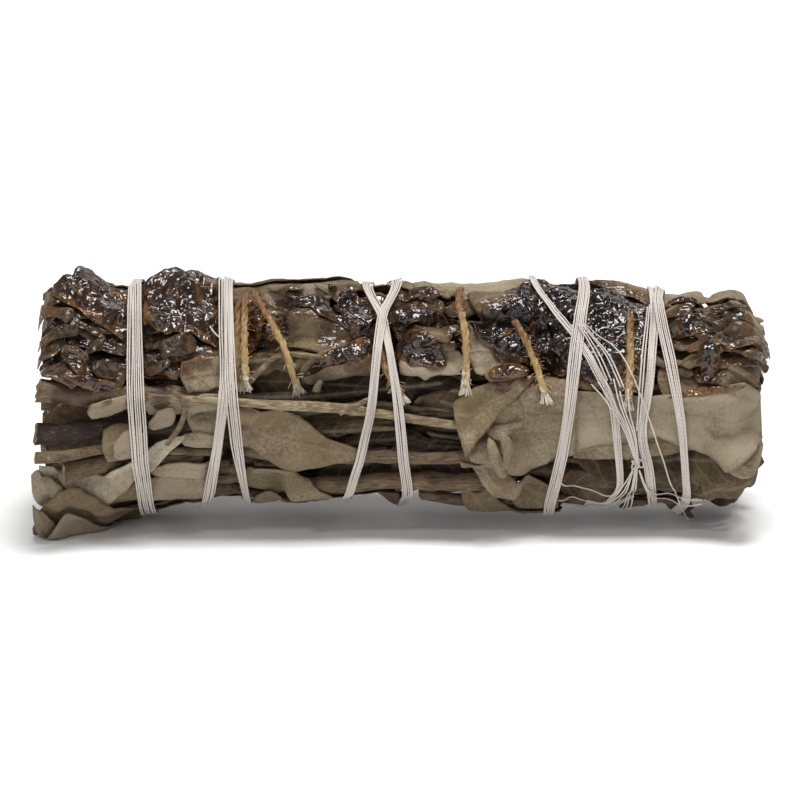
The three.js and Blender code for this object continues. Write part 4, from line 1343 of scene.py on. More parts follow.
# %% Middle leaves
MIDDLE_LEAVES = {
    "leaf_middle_low": [
        blade([(244, 486), (285, 487), (330, 494)], (5, 7, 4), roll=70, tone=0.65),
        blade([(256, 499), (310, 502), (400, 499)], (5, 8, 6), roll=40, tone=0.55),
    ],
    "leaf_middle_smooth": [
        dict(upper=[(232, 416), (250, 411), (262, 416), (280, 411), (300, 415), (312, 424),
                    (330, 440), (358, 449)],
             lower=[(232, 446), (250, 450), (265, 457), (282, 466), (300, 468), (318, 465),
                    (334, 460), (358, 455)],
             roll=15, lips=(10, -25), tone=0.62, crumple=0.1, ripple=0.3, crease=0.06),
    ],
    "leaf_top_left": [
        blade([(236, 300), (250, 308), (259, 322)], (4, 5, 3), roll=90, tone=0.65),
        blade([(255, 297), (275, 293), (294, 297)], (4, 6.5, 3.5), roll=80, tone=1.0),
        blade([(291, 294), (310, 289), (330, 291)], (4, 6, 3.5), roll=140, tone=0.85),
    ],
    "leaf_top_middle": [
        blade([(286, 326), (330, 332), (388, 336)], (4, 7, 6), roll=50, tone=0.6),
        blade([(396, 285), (425, 281), (457, 287)], (5, 7, 5), roll=90, tone=0.75),
        blade([(393, 322), (425, 318), (460, 326)], (5, 7, 5), roll=80, tone=0.55),
        blade([(396, 302), (418, 297), (444, 301)], (4, 5, 4), roll=180, tone=0.6),
        blade([(398, 352), (430, 354), (464, 364)], (6, 8, 3), roll=20, tone=1.0, lips=(20, 0),
              ragged=0.05),
        blade([(303, 379), (325, 365), (374, 357)], (2.4, 4, 4), roll=60, tone=0.65),
        blade([(322, 379), (319, 386), (317, 393)], (0.8, 1.3, 1.5), roll=170, tone=0.8),
    ],
    "leaf_top_right": [
        blade([(472, 302), (510, 294), (566, 294)], (6, 9, 7), roll=80, tone=0.3),
        blade([(560, 300), (600, 296), (650, 302)], (6, 9, 7), roll=80, tone=0.3),
        blade([(556, 330), (600, 332), (652, 338)], (6, 10, 8), roll=60, tone=0.3),
        blade([(560, 368), (600, 370), (650, 372)], (5, 7, 6), roll=60, tone=0.45),
    ],
}
lay_leaves(MIDDLE_LEAVES, 600)

# %% [markdown]
# ## The long front stem
# One pale stem crosses the front from the left tie to the large leaf at the right, with short side
# twigs that curve away from it. They could be joined by a boolean, but pressed against the stem
# they look grown on, and they move with it because all are one piece.

# %% Long front stem
LONG_STEM_SEED = 81
LONG_STEM = [
    dict(pixels=[(150, 397), (236, 402), (335, 408), (380, 416), (462, 428)], radius=0.82,
         tone=0.72, scars=(0.66,), lift=0.1),
    dict(pixels=[(340, 412), (352, 407), (369, 399)], radius=0.4, tone=0.6),
    dict(pixels=[(249, 384), (264, 366), (284, 355), (330, 360)], radius=0.45, tone=0.6,
         lift=(0, 0.6, 0.9, 0)),
    dict(pixels=[(168, 389), (182, 396), (188, 408), (183, 424), (170, 440)], radius=0.42,
         tone=0.55, lift=0.2),
]
twigs = [laid_stem(seed=seed, **stem) for seed, stem in enumerate(LONG_STEM, LONG_STEM_SEED)]
make_piece("stem_front_long", stem_material, twigs)
print("laid the long front stem and its twigs")

# %% [markdown]
# ## Leaves low on the right
# Under the right end lie leaves that are hardly seen, darkened with painted shade of the recess
# there, a strip that sweeps down to the right, and a small leaf that is bent under and touches the
# floor there. They come first, because the large leaves of the front lie over them.

# %% Right low leaves
RIGHT_LOW_LEAVES = {
    "leaf_right_under": [
        blade([(556, 486), (610, 488), (665, 492), (704, 490)], (6, 8, 9, 6), roll=20, tone=-0.2,
              bed=11.5),
        blade([(640, 498), (668, 509), (694, 506)], (4, 7, 5), roll=60, tone=0.1, bed=15.0),
        blade([(700, 486), (730, 482), (757, 472)], (5, 6, 4), roll=20, tone=0.1, bed=11.5),
    ],
    "leaf_right_strip": [
        dict(upper=[(459, 452), (478, 459), (500, 465), (530, 477), (558, 486)],
             lower=[(461, 460), (478, 472), (500, 486), (530, 497), (558, 503)], roll=25,
             lips=(0, -30), tone=0.65, crumple=0.1),
        blade([(466, 486), (510, 499), (562, 505)], (3, 6, 6), roll=30, tone=0.5),
    ],
    "leaf_right_foot": [
        dict(spine=[(31, -70), (36, -76), (41, -78)], widths=(6, 9, 4), roll=60, tone=0.1, bed=17.5),
    ],
}
lay_leaves(RIGHT_LOW_LEAVES, 800)

# %% [markdown]
# ## Folds at the right end
# At the top of the right end narrow folds lie stacked like pages. As at the left, each is a leaf of
# its own with its lower edge turned down, over one broad leaf that closes the ground below.

# %% Right end leaves
RIGHT_END_LEAVES = {
    "leaf_end_top": [
        blade([(656, 314), (705, 310), (762, 318)], (10, 11, 9), roll=0, tone=0.3),
        ridge([(660, 330), (690, 326), (716, 330)], (3, 4.5, 3), roll=80, fold=0.5, tone=0.3),
        ridge([(658, 310), (680, 304), (704, 309)], (4, 5.5, 4), roll=80, fold=0.4, tone=0.3),
        ridge([(698, 312), (720, 307), (742, 313)], (4, 5.5, 4), roll=80, fold=0.5, tone=0.5),
        blade([(722, 312), (742, 307), (760, 314)], (4, 5, 3), roll=60, fold=0.5, lips=(-30, 0),
              tone=0.8),
        blade([(712, 296), (735, 293), (756, 300)], (3, 5, 3), roll=40, tone=0.7),
    ],
    "leaf_end_front": [
        blade([(655, 378), (700, 378), (758, 380)], (6, 7, 6), roll=0, tone=0.4),
        ridge([(690, 372), (725, 371), (756, 368)], (3, 4.5, 3), roll=70, fold=0.5, tone=0.6),
        ridge([(692, 356), (732, 354), (766, 351)], (3, 4.6, 3), roll=80, fold=0.6, tone=0.6),
        ridge([(695, 340), (735, 336), (766, 331)], (3, 4.6, 3), roll=80, fold=0.6, tone=0.7),
    ],
}
lay_leaves(RIGHT_END_LEAVES, 860)

# %% [markdown]
# ## Large leaves at the right
# One big smooth leaf wraps the front of the right end, a creased leaf meets it, and a folded flap
# covers the joint. They are the plainest shapes of the whole bunch, so their outlines are followed
# closely, edge by edge, and the sharp creases between them are narrow folded leaves.

# %% Right front leaves
RIGHT_FRONT_LEAVES = {
    "leaf_right_wrap": [
        # The lowest leaf of the wrap has a tone below 0: painted shade along the bottom of the right end.
        blade([(575, 464), (640, 466), (700, 464), (758, 454)], (3, 6, 6, 3), roll=10, tone=-0.3,
              bed=11.8),
        blade([(724, 458), (742, 459), (758, 450)], (2, 3.6, 2), roll=40, tone=0.9),
        dict(upper=[(566, 448), (590, 440), (620, 434), (660, 436), (700, 440)],
             lower=[(572, 461), (590, 461), (628, 460), (660, 458), (696, 453)], roll=20, tone=0.7,
             crumple=0.1),
        dict(upper=[(562, 390), (600, 392), (640, 397), (680, 392), (712, 386), (740, 383), (757, 391)],
             lower=[(562, 452), (592, 446), (620, 441), (655, 439), (690, 450), (722, 462), (759, 446)],
             roll=12, lips=(-20, 15), tone=0.95, crumple=0.1, ripple=0.35, crease=0.07),
    ],
    "leaf_right_fold": [
        dict(upper=[(462, 436), (484, 422), (504, 404), (535, 384), (574, 384)],
             lower=[(470, 452), (490, 459), (512, 466), (534, 470), (574, 450)], roll=15, tone=0.75,
             crumple=0.35, crease=0.14),
        blade([(482, 426), (498, 431), (522, 424)], (1.4, 3.2, 1.4), roll=110, fold=0.9, tone=0.75),
        blade([(488, 434), (496, 450), (503, 466)], (1.4, 2.8, 1.4), roll=110, fold=0.9, tone=0.7),
        blade([(500, 428), (507, 441), (505, 454)], (1.2, 2.2, 1.2), roll=110, fold=0.9, tone=0.7),
        blade([(518, 400), (545, 395), (574, 397)], (5, 6.4, 5), roll=15, tone=0.6),
    ],
    "leaf_right_collar": [
        blade([(466, 350), (495, 346), (524, 354)], (7, 9, 6), roll=25, tone=0.75),
        dict(upper=[(452, 403), (474, 386), (492, 380), (515, 376), (533, 375)],
             lower=[(455, 426), (465, 447), (486, 427), (508, 405), (533, 379)], roll=12,
             lips=(-25, 30), tone=0.6, crumple=0.06, ripple=0.2, crease=0.05),
        blade([(484, 377), (505, 372), (528, 369)], (2, 3.4, 2.4), roll=110, fold=0.3, tone=0.4),
    ],
}
lay_leaves(RIGHT_FRONT_LEAVES, 900)

# %% [markdown]
# ## Resin
# Where it lies thick the resin set as a lumpy glossy film. A glass shader would be truer, but the
# film is so dark that light hardly passes it, and a plain glossy one renders faster. Its depth is
# kept as an attribute: thin resin is amber, thick resin is black.

# %% Resin finish
RESIN = {
    "amber": linear(104, 70, 32),
    "brown": linear(46, 30, 19),
    "black": linear(11, 8, 7),
}


def resin_finish():
    resin = Finish("poured_resin")
    depth = resin.attribute("resin") + (resin.noise(2.4) - 0.5) * 1.1
    colour = resin.mix(resin.ease(depth, -0.1, 0.3), RESIN["amber"], RESIN["brown"])
    colour = resin.mix(resin.ease(depth, 0.4, 0.85), colour, RESIN["black"])
    glint = resin.noise(1.6, detail=1.0)
    blisters = resin.ease(resin.cracks(1.5), 0.0, 0.45)
    return resin.surface(
        Base_Color=colour,
        Roughness=0.07 + resin.noise(0.5) * 0.12,
        Specular_IOR_Level=0.6,
        Normal=resin.bump(glint + blisters * 0.3, 0.8),
    )


resin_material = resin_finish()
print("made", resin_material.name)

# %% [markdown]
# ## Films of resin
# A separate film, not just a glossy leaf, has real edges and real thickness. Each is drawn as a leaf
# is, by a spine or by two edges. It is laid with a very short reach, so that it follows the folds
# below it, and it bulges in lumps. The two large films at the left run over ridges of soaked leaf,
# so they have ridges of their own.

# %% Resin patches
RESIN_PATCHES = {
    "resin_left": [
        dict(upper=[(56, 286), (80, 277), (104, 281), (132, 284)],
             lower=[(56, 298), (84, 311), (106, 318), (132, 332)], depth=0.3, dark=1.5, ridges=1.1),
        dict(upper=[(146, 280), (165, 272), (190, 271), (220, 277)],
             lower=[(146, 322), (168, 328), (192, 332), (220, 344)], depth=0.3, dark=1.8, ridges=1.1),
        blade([(66, 356), (80, 364), (95, 382)], (1, 1.8, 1.4), depth=0.3),
        blade([(70, 379), (98, 385), (128, 388)], (0.8, 1.5, 1.0), depth=0.25),
    ],
    "resin_middle": [
        blade([(286, 303), (320, 309), (345, 312), (380, 314)], (1, 3, 4.6, 5), depth=0.6),
        blade([(348, 284), (358, 304), (372, 330), (376, 346)], (4, 6.4, 5, 4), depth=0.7),
        blade([(304, 376), (326, 362), (350, 352), (374, 338)], (0.8, 1.8, 3, 4), depth=0.5),
        blade([(250, 296), (262, 312), (284, 322)], (2, 3.4, 2.6), depth=0.45),
        dict(upper=[(236, 286), (250, 284), (264, 290)], lower=[(236, 350), (250, 344), (266, 318)],
             depth=0.4, dark=0.3),
        blade([(391, 318), (425, 313), (460, 317)], (3.4, 4, 3), depth=0.6, dark=1.3),
        blade([(396, 340), (420, 350), (446, 364)], (5, 5.4, 2), depth=0.6),
        blade([(400, 298), (420, 294), (440, 298)], (2, 3, 1.6), depth=0.4),
        blade([(330, 290), (333, 289), (337, 290)], (0.8, 1.4, 0.8), depth=0.8),
    ],
    "resin_right": [
        dict(upper=[(472, 322), (496, 311), (516, 296), (535, 281), (560, 276), (590, 279), (620, 285),
                    (646, 294)],
             lower=[(474, 334), (494, 350), (514, 356), (536, 362), (560, 372), (592, 384), (622, 378),
                    (650, 345)], depth=0.9, dark=1.1),
        blade([(487, 375), (506, 371), (527, 371)], (1.4, 2.4, 1.4), depth=0.3),
        blade([(664, 398), (700, 391), (740, 388)], (0.6, 1.3, 0.8), depth=0.12, dark=0.2),
    ],
    "resin_end": [
        blade([(660, 306), (682, 302), (702, 308)], (2, 3.6, 2), depth=0.5),
        blade([(662, 326), (690, 324), (714, 330)], (2, 3.4, 2), depth=0.5),
        blade([(702, 346), (706, 362), (701, 383)], (3.4, 2.8, 1), depth=0.6),
        blade([(706, 310), (722, 306), (738, 311)], (1, 2, 1), depth=0.4),
    ],
}
FILM = {"reach": 0.5, "gap": 0.04, "edge": 0.06, "ragged": 0.1, "blunt": 4, "least_columns": 7}
FILM_LUMPS = {"usual": 0.7, "waves": ((0.35, 3.2), (0.4, 1.7)), "range": (0.1, 1.4)}
FILM_RIDGES = {"slant": (0.35, 0.25), "length": 4.2}


def film_outline(pixels, widths, upper, lower, seed):
    """The middle line and half-width of a film, by its edges if they are given."""
    if upper:
        return edge_outline(upper, lower)
    spine = [spot(*pixel) for pixel in pixels]
    return spine_outline(spine, widths, seed, FILM["ragged"], FILM["blunt"])


def resin_patch(depth, seed, dark=1.0, ridges=0.0, pixels=None, widths=None, upper=None, lower=None):
    """A lumpy patch of resin, thin at its ragged edge, over ridges of leaf if there are any."""
    centre, side = film_outline(pixels, widths, upper, lower, seed)
    half = np.linalg.norm(side, axis=1).max()
    columns = max(FILM["least_columns"], int(2 * half / LEAF_STEP)) | 1
    along = np.linspace(-1, 1, len(centre))[:, None]
    across = np.linspace(-1, 1, columns)[None]
    flow = np.arange(len(centre))[:, None] * LEAF_STEP
    reach = across * (1 + FILM["ragged"] * waves(flow, np.sign(across) * 30, 3.0, seed))
    place = centre[:, None] + side[:, None] * reach[..., None]
    x, arc = place[..., 0], place[..., 1]
    angle = np.degrees(arc / BODY_RADIUS)
    lumps = FILM_LUMPS["usual"]
    for n, (size, length) in enumerate(FILM_LUMPS["waves"]):
        lumps = lumps + size * waves(x, arc, length, seed + 1 + n)
    dome = np.sqrt(np.clip(1 - across ** 4, 0, 1) * np.clip(1 - along ** 6, 0, 1))
    body = dome * np.clip(lumps, *FILM_LUMPS["range"])
    below = read_grid(outside.ground(FILM["reach"]), x, angle) + FILM["gap"]
    leaning = FILM_RIDGES["slant"][0] * x + FILM_RIDGES["slant"][1] * arc
    folds = (1 + waves(leaning, arc, FILM_RIDGES["length"], seed + 5, folded=True)) / 2
    below = below + ridges * folds * dome
    inner = straight(x, angle, below)
    outer = straight(x, angle, below + FILM["edge"] + depth * body)
    outside.cover(outer)
    facts = {"resin": np.clip(dark * depth * body, 0, 1), "along": x, "across": arc}
    return plate_mesh(outer, inner, facts)


for n, (node, patches) in enumerate(RESIN_PATCHES.items()):
    solids = [resin_patch(seed=900 + 30 * n + 3 * m, **patch) for m, patch in enumerate(patches)]
    make_piece(node, resin_material, solids)
print("poured", len(RESIN_PATCHES), "runs of resin:", bunch_girth())

# %% [markdown]
# ## Twine
# Short ends of twine stick out of the resin. Where the resin soaked them they are brown and a little
# glossy, and towards the cut they turn golden and then pale. That change runs along each stub, so
# the finish reads it from an attribute and needs no painting.

# %% Twine finish
TWINE = {
    "soaked": linear(116, 80, 36),
    "golden": linear(176, 146, 96),
    "frayed": linear(222, 212, 192),
}


def twine_finish():
    twine = Finish("soaked_twine")
    along = twine.attribute("along")
    fibre = twine.noise(0.12, detail=4.0, rough=0.7)
    blot = twine.noise(0.8)
    shade = along + (blot - 0.5) * 1.1 + (fibre - 0.5) * 0.5
    colour = twine.mix(twine.ease(shade, 0.1, 0.6), TWINE["soaked"], TWINE["golden"])
    colour = twine.mix(twine.ease(shade, 0.72, 0.95), colour, TWINE["frayed"])
    dry = twine.ease(shade, 0.3, 0.8)
    return twine.surface(
        Base_Color=colour,
        Roughness=0.35 + dry * 0.5,
        Coat_Weight=0.12 - dry * 0.12,
        Coat_Roughness=0.2,
        Normal=twine.bump(fibre, 0.15),
    )


twine_material = twine_finish()
print("made", twine_material.name)

# %% [markdown]
# ## Twine stubs
# There are seven stubs, three of them together at the left. Twine is plies laid round each other. A
# bump could draw the twist, but the outline would stay smooth, so each stub is four tubes on a
# helix with fine hairs. At the cut the plies open into a tassel of loose fibres.

# %% Twine stubs
PLY = {"count": 4, "radius": 0.28, "pitch": 9.0, "lay": 0.25, "sides": 8, "step": 0.3}
FUZZ = {"count": 60, "radius": 0.04, "length": 1.3, "sides": 4}
TASSEL = {"count": 34, "radius": 0.085, "length": 2.5, "splay": 0.55, "sides": 4}
TWINE_LIE = {"radius": 0.6, "bed": BED_RADIUS - 0.5, "stiffness": 2.0}
TWINE_STUBS = {
    "twine_left": (
        ((239, 289), (239, 320), (240, 350), (240, 376)),
        ((246, 287), (246, 320), (246, 352), (247, 380)),
        ((254, 289), (268, 314), (281, 338), (290, 362), (298, 386)),
    ),
    "twine_middle": (((378, 340), (383, 358), (390, 376), (400, 394)),),
    "twine_centre": (((460, 289), (458, 303), (461, 319), (465, 345), (465, 384)),),
    "twine_right_slant": (((514, 326), (526, 347), (536, 370), (543, 394)),),
    "twine_right_upright": (((628, 312), (628, 345), (627, 375), (626, 400)),),
}


def frames(path):
    """Forward, sideways and outward directions along a path on the bunch."""
    forward = unit(np.gradient(path, axis=0))
    outward = unit(path * np.array([0.0, 1.0, 1.0]))
    side = unit(np.cross(outward, forward))
    return forward, side, np.cross(forward, side)


def plain_tube(path, radius, sides, along):
    """A closed round tube along a path, with a number along it for the finish."""
    rings = tube_rings(path, radius, sides, frames(path)[2])
    turn = np.arange(sides) / sides * 2 * math.pi
    shape = rings.shape[:2]
    facts = {
        "along": np.broadcast_to(np.reshape(along, (-1, 1)), shape),
        "across": np.broadcast_to(turn, shape),
    }
    return tube_mesh(rings, facts)


def twine_plies(path, gone, part, seed):
    """Plies laid round a path, each a little uneven."""
    _, side, up = frames(path)
    for n in range(PLY["count"]):
        turn = gone / PLY["pitch"] * 2 * math.pi + 2 * math.pi * n / PLY["count"]
        turn = turn + 0.8 * waves(gone, 0 * gone, 5.0, seed + n)
        lay = PLY["lay"] * (1 + 0.35 * waves(gone, 0 * gone + 9, 3.0, seed + n))
        ply = path + (lay * np.cos(turn))[:, None] * side + (lay * np.sin(turn))[:, None] * up
        thin = PLY["radius"] * (1 + 0.22 * waves(gone, 0 * gone, 1.6, seed + 40 + n))
        yield plain_tube(ply, thin[:, None], PLY["sides"], part * 0.8)


def twine_stub(pixels, seed):
    """Laid plies, the hairs along them and the fibres that open at their cut end."""
    rng = np.random.default_rng(SEED + seed)
    path = laid_path(pixels, TWINE_LIE["radius"], PLY["step"], TWINE_LIE["bed"],
                     TWINE_LIE["stiffness"], 0.0)
    gone = run_length(path)
    part = gone / gone[-1]
    forward, side, up = frames(path)
    solids = list(twine_plies(path, gone, part, seed))
    t = np.linspace(0, 1, 6)[:, None]
    for _ in range(FUZZ["count"]):
        at = rng.integers(2, len(path) - 2)
        lean = rng.normal(0, 1.0, 3)
        hair = lean[0] * forward[at] + lean[1] * side[at] + (0.3 + abs(lean[2]) * 0.3) * up[at]
        root = path[at] + 0.4 * np.sign(lean[1]) * side[at]
        reach = FUZZ["length"] * rng.uniform(0.3, 1.0)
        curve = root + reach * t * unit(hair) + 0.3 * t ** 2 * forward[at]
        solids.append(plain_tube(curve, FUZZ["radius"], FUZZ["sides"], part[at] + 0 * t))
    for _ in range(TASSEL["count"]):
        across, raised = rng.uniform(-1, 1), rng.uniform(0, 1)
        root = path[-2] + 0.42 * across * side[-2] + (0.5 * raised - 0.25) * up[-2]
        reach = TASSEL["length"] * rng.uniform(0.75, 1.0)
        spread = TASSEL["splay"] * (across * side[-1] + 0.4 * (raised - 0.2) * up[-1])
        curve = root + reach * t * forward[-1] + t ** 1.5 * spread
        curve = curve + 0.12 * t ** 2 * rng.normal(0, 1.0, 3)
        solids.append(plain_tube(curve, TASSEL["radius"], TASSEL["sides"], 0.8 + 0.2 * t))
    for solid in solids:
        outside.cover(solid[0])
    return solids


for n, (node, stubs) in enumerate(TWINE_STUBS.items()):
    stub_solids = []
    for m, stub in enumerate(stubs):
        stub_solids.extend(twine_stub(stub, 950 + 5 * n + m))
    make_piece(node, twine_material, stub_solids)
print("laid", sum(len(stubs) for stubs in TWINE_STUBS.values()), "twine stubs")

# %% [markdown]
# ## Thread
# The ties are white cotton thread, spun from fine fibres and slightly fuzzy. The twist is a wave
# along and round each strand, taken from two attributes; it is bump, and it also darkens the colour
# in its grooves as painted shade. The fuzz is sheen. Real hairs would be far smaller than a pixel.

# %% Thread finish
THREAD = {"shaded": linear(182, 172, 162), "white": linear(212, 204, 196)}


def thread_finish():
    thread = Finish("cotton_thread")
    twist = thread.attribute("along") * 9.0 + thread.attribute("across")
    strand = thread.node("ShaderNodeMath", {"operation": "SINE"}, {0: twist}) * 0.5 + 0.5
    lint = thread.noise(0.1, detail=3.0, rough=0.7)
    blot = thread.noise(4.0)
    # The twist wave darkens the colour a little in the grooves between fibres: painted shade.
    shade = strand * 0.15 + lint * 0.6 + blot * 0.3
    colour = thread.mix(thread.ease(shade, 0.2, 0.8), THREAD["shaded"], THREAD["white"])
    return thread.surface(
        Base_Color=colour,
        Roughness=0.8,
        Sheen_Weight=0.3,
        Sheen_Roughness=0.4,
        Specular_IOR_Level=0.25,
        Normal=thread.bump(strand * 0.5 + lint * 0.6, 0.04),
    )


thread_material = thread_finish()
print("made", thread_material.name)

# %% [markdown]
# ## Thread ties
# Thread is wound five to eight times along each route. It is pulled tight, so it doesn't follow the
# leaves: it runs straight from crest to crest. A simulation could find that line. Lifting each point
# to the chords between its neighbours finds it too, and gives the same answer every time. One long
# tube then winds round and round, each turn a little beside the last.

# %% Ties
THREAD_RADIUS = 0.105
THREAD_SIDES = 8
WINDING = {"lanes": 9, "half_width": 1.7}
TIGHT = {"rounds": 2, "longest_chord": 34}
TIE_GROUND = 0.4
ROUTE_SMOOTHING = 6
WANDER = {"spread": 0.2, "drift": 0.06, "height": 0.05, "gap": 0.08}
ROUND = np.arange(0, 360, ANGLE_STEP)
TIES = {
    "tie_left": [
        dict(turns=8, pitch=0.27, route=((87, -37.4), (15, -36.9), (-75, -35.2), (-180, -36.3))),
    ],
    "tie_left_pair": [
        dict(turns=7, pitch=0.25, route=((87, -24.7), (24, -24.2), (-70, -27.8), (-180, -27.0))),
        dict(turns=6, pitch=0.25, route=((87, -24.3), (24, -23.8), (-68, -21.5), (-180, -23.6))),
    ],
    "tie_middle_cross": [
        dict(turns=6, pitch=0.24,
             route=((87, -5.0), (58, -2.7), (9, -0.6), (-50, 1.0), (-180, -3.4))),
        dict(turns=6, pitch=0.24,
             route=((87, -0.4), (58, -2.7), (4, -4.2), (-60, -8.1), (-180, -4.6))),
    ],
    "tie_right": [
        dict(turns=5, pitch=0.23,
             route=((85, 18.2), (48, 24.3), (10, 29.5), (-40, 30.6), (-120, 24.0), (-180, 19.0))),
        dict(turns=7, pitch=0.22,
             route=((87, 25.7), (45, 24.5), (-1, 23.1), (-65, 20.5), (-180, 24.0))),
        dict(turns=6, pitch=0.22,
             route=((75, 35.4), (19, 34.5), (-7, 33.2), (-30, 34.6), (-75, 35.5), (-180, 35.0))),
        dict(turns=6, pitch=0.22,
             route=((75, 35.8), (24, 37.9), (-1, 39.0), (-50, 40.0), (-90, 37.2), (-180, 37.6))),
    ],
}


def pulled_tight(radius):
    """Radii round a loop, lifted to every chord between neighbours."""
    for _ in range(TIGHT["rounds"]):
        for gap in range(TIGHT["longest_chord"], 0, -1):
            before, after = np.roll(radius, gap), np.roll(radius, -gap)
            chord = 2 * before * after / (before + after)
            radius = np.maximum(radius, chord * math.cos(math.radians(gap * ANGLE_STEP)))
    return radius


def route_places(route):
    """The place along for each angle round, from the few knots of a route."""
    angles = np.array([angle for angle, _ in route] + [route[0][0] - 360])
    places = np.array([x for _, x in route] + [route[0][1]])
    order = np.argsort(angles)
    wanted = (ROUND - angles[order][0]) % 360 + angles[order][0]
    x = np.interp(wanted, angles[order], places[order])
    return np.mean([np.roll(x, n) for n in range(-ROUTE_SMOOTHING, ROUTE_SMOOTHING + 1)], axis=0)


def tie_winding(route, turns, pitch, seed):
    """One thread wound several times along a route, tight over what is below it."""
    middle = route_places(route)
    ground = outside.ground(TIE_GROUND)
    lanes = np.linspace(-1, 1, WINDING["lanes"]) * WINDING["half_width"]
    tight = np.array([pulled_tight(read_grid(ground, middle + lane, ROUND)) for lane in lanes])
    tight = np.concatenate([tight, tight[:, :1]], axis=1)
    angle = np.arange(-180, -180 + 360 * turns, ANGLE_STEP)
    turn = (angle + 180) / 360
    whole = np.floor(turn)
    step_over = whole + soft_step(0.9, 1.0, turn - whole)
    offset = (step_over - turns / 2) * pitch
    turned = np.radians(angle)
    uneven = waves(2 * np.cos(turned), 2 * np.sin(turned), 4.0, seed)
    offset = offset * (1 + WANDER["spread"] * uneven)
    offset = offset + WANDER["drift"] * waves(angle / 25, 0 * angle, 3.0, seed + 1)
    around = np.mod(angle, 360)
    x = np.interp(around, np.append(ROUND, 360), np.append(middle, middle[0])) + offset
    lane = np.clip((offset / WINDING["half_width"] + 1) / 2, 0, 0.999) * (WINDING["lanes"] - 1)
    low = lane.astype(int)
    column = around / ANGLE_STEP
    cell = np.minimum(column.astype(int), len(ROUND) - 1)
    part, share = lane - low, column - cell
    near = tight[low, cell] * (1 - share) + tight[low, cell + 1] * share
    far = tight[low + 1, cell] * (1 - share) + tight[low + 1, cell + 1] * share
    height = WANDER["height"] * (1 + waves(angle / 30, 0 * angle, 3.0, seed + 2))
    radius = near * (1 - part) + far * part + THREAD_RADIUS + WANDER["gap"] + height
    path = straight(x, angle, radius)
    solid = plain_tube(path, THREAD_RADIUS, THREAD_SIDES, run_length(path))
    outside.cover(solid[0])
    return solid


tie_solids = {}
for n, (node, routes) in enumerate(TIES.items()):
    tie_solids[node] = []
    for m, tie in enumerate(routes):
        tie_solids[node].append(tie_winding(seed=1000 + 20 * n + 5 * m, **tie))
print("wound", sum(len(routes) for routes in TIES.values()), "threads in", len(TIES), "ties")

# %% [markdown]
# ## Knot, tails and loops
# At the right the ends are knotted on the front. Cut tails run up to the left, a few loops hang
# below the knot, and some strands stray from the tie beside it. They are the same thread and belong
# to the right tie's piece. Their paths are read off the photograph, since no rule would give them.

# %% Knot and loose strands
STRAND = {"step": 0.35, "stiffness": 0.8, "lift": 0.15}
KNOT = {"place": (635, 462), "wide": 0.9, "high": 0.7, "turns": 3}
LOOSE_STRANDS = [
    ((634, 462), (622, 430), (604, 402), (589, 384)),
    ((634, 461), (624, 430), (608, 402), (596, 382)),
    ((635, 461), (626, 430), (612, 404), (603, 381)),
    ((635, 460), (628, 432), (617, 404), (611, 379)),
    ((636, 460), (631, 434), (622, 410), (617, 391)),
    ((636, 460), (633, 436), (627, 412), (625, 389)),
    ((632, 465), (610, 484), (584, 486), (562, 476), (556, 466)),
    ((631, 467), (612, 490), (586, 494), (558, 488)),
    ((630, 468), (616, 494), (590, 499), (560, 492)),
    ((637, 466), (650, 486), (672, 491), (700, 489)),
    ((637, 467), (652, 491), (675, 497), (700, 493)),
    ((633, 464), (628, 488), (620, 506)),
    ((634, 464), (630, 488), (623, 507)),
    ((635, 464), (633, 488), (627, 508)),
    ((576, 324), (592, 352), (605, 381)),
    ((578, 324), (596, 352), (609, 381)),
    ((580, 324), (602, 352), (618, 388)),
    ((582, 324), (606, 354), (621, 388)),
    ((584, 324), (614, 350), (643, 410), (690, 505)),
    ((648, 306), (641, 370), (637, 425)),
    ((646, 306), (638, 370), (634, 430)),
]
LEFT_TAIL = ((212, 322), (216, 330), (221, 336))


def loose_strand(pixels):
    """One thread along pixels of the photograph, on top of what is there."""
    path = laid_path(pixels, THREAD_RADIUS, STRAND["step"], BED_RADIUS, STRAND["stiffness"], STRAND["lift"])
    return plain_tube(path, THREAD_RADIUS, THREAD_SIDES, run_length(path))


def knot_solid():
    """A small tangle of turns where the thread was tied off."""
    x, angle = spot(*KNOT["place"])
    turn = np.linspace(0, 2 * math.pi * KNOT["turns"], 90)
    along = x + KNOT["wide"] * np.cos(turn) * (0.6 + 0.4 * np.cos(turn / 3))
    around = angle + np.degrees(KNOT["high"] * np.sin(turn * 2 / 3 * 2) / BODY_RADIUS)
    ground = read_grid(outside.ground(0.6), np.array([x]), np.array([angle]))[0]
    path = straight(along, around, ground + 0.45 + 0.35 * np.cos(turn * 5 / 3))
    return plain_tube(path, THREAD_RADIUS * 1.2, THREAD_SIDES, turn)


tie_solids["tie_right"].extend(loose_strand(strand) for strand in LOOSE_STRANDS)
tie_solids["tie_right"].append(knot_solid())
tie_solids["tie_left_pair"].append(loose_strand(LEFT_TAIL))
for node, solids in tie_solids.items():
    make_piece(node, thread_material, solids)
print("tied the knot with", len(LOOSE_STRANDS), "loose strands")

# %% [markdown]
# ## Pressing the bunch
# On the real bunch the thread pulled everything tight, so thick heaps of leaves were squeezed and
# thin ones were not. A lattice could do that by hand. Here the laid height is averaged over a few
# millimetres, and every point is moved in or out so that this average meets the bunch's radius.
# Small folds keep their height, because they are much smaller than the averaging. Crowns add or
# take a little where the photograph shows the bunch fuller or flatter than its usual round.

# %% Press the bunch
PRESS = {"radius": 15.35, "forward": 0.75, "along": 5.0, "around": 6.0, "least": 0.62, "most": 1.05,
         "covered": 11.0}


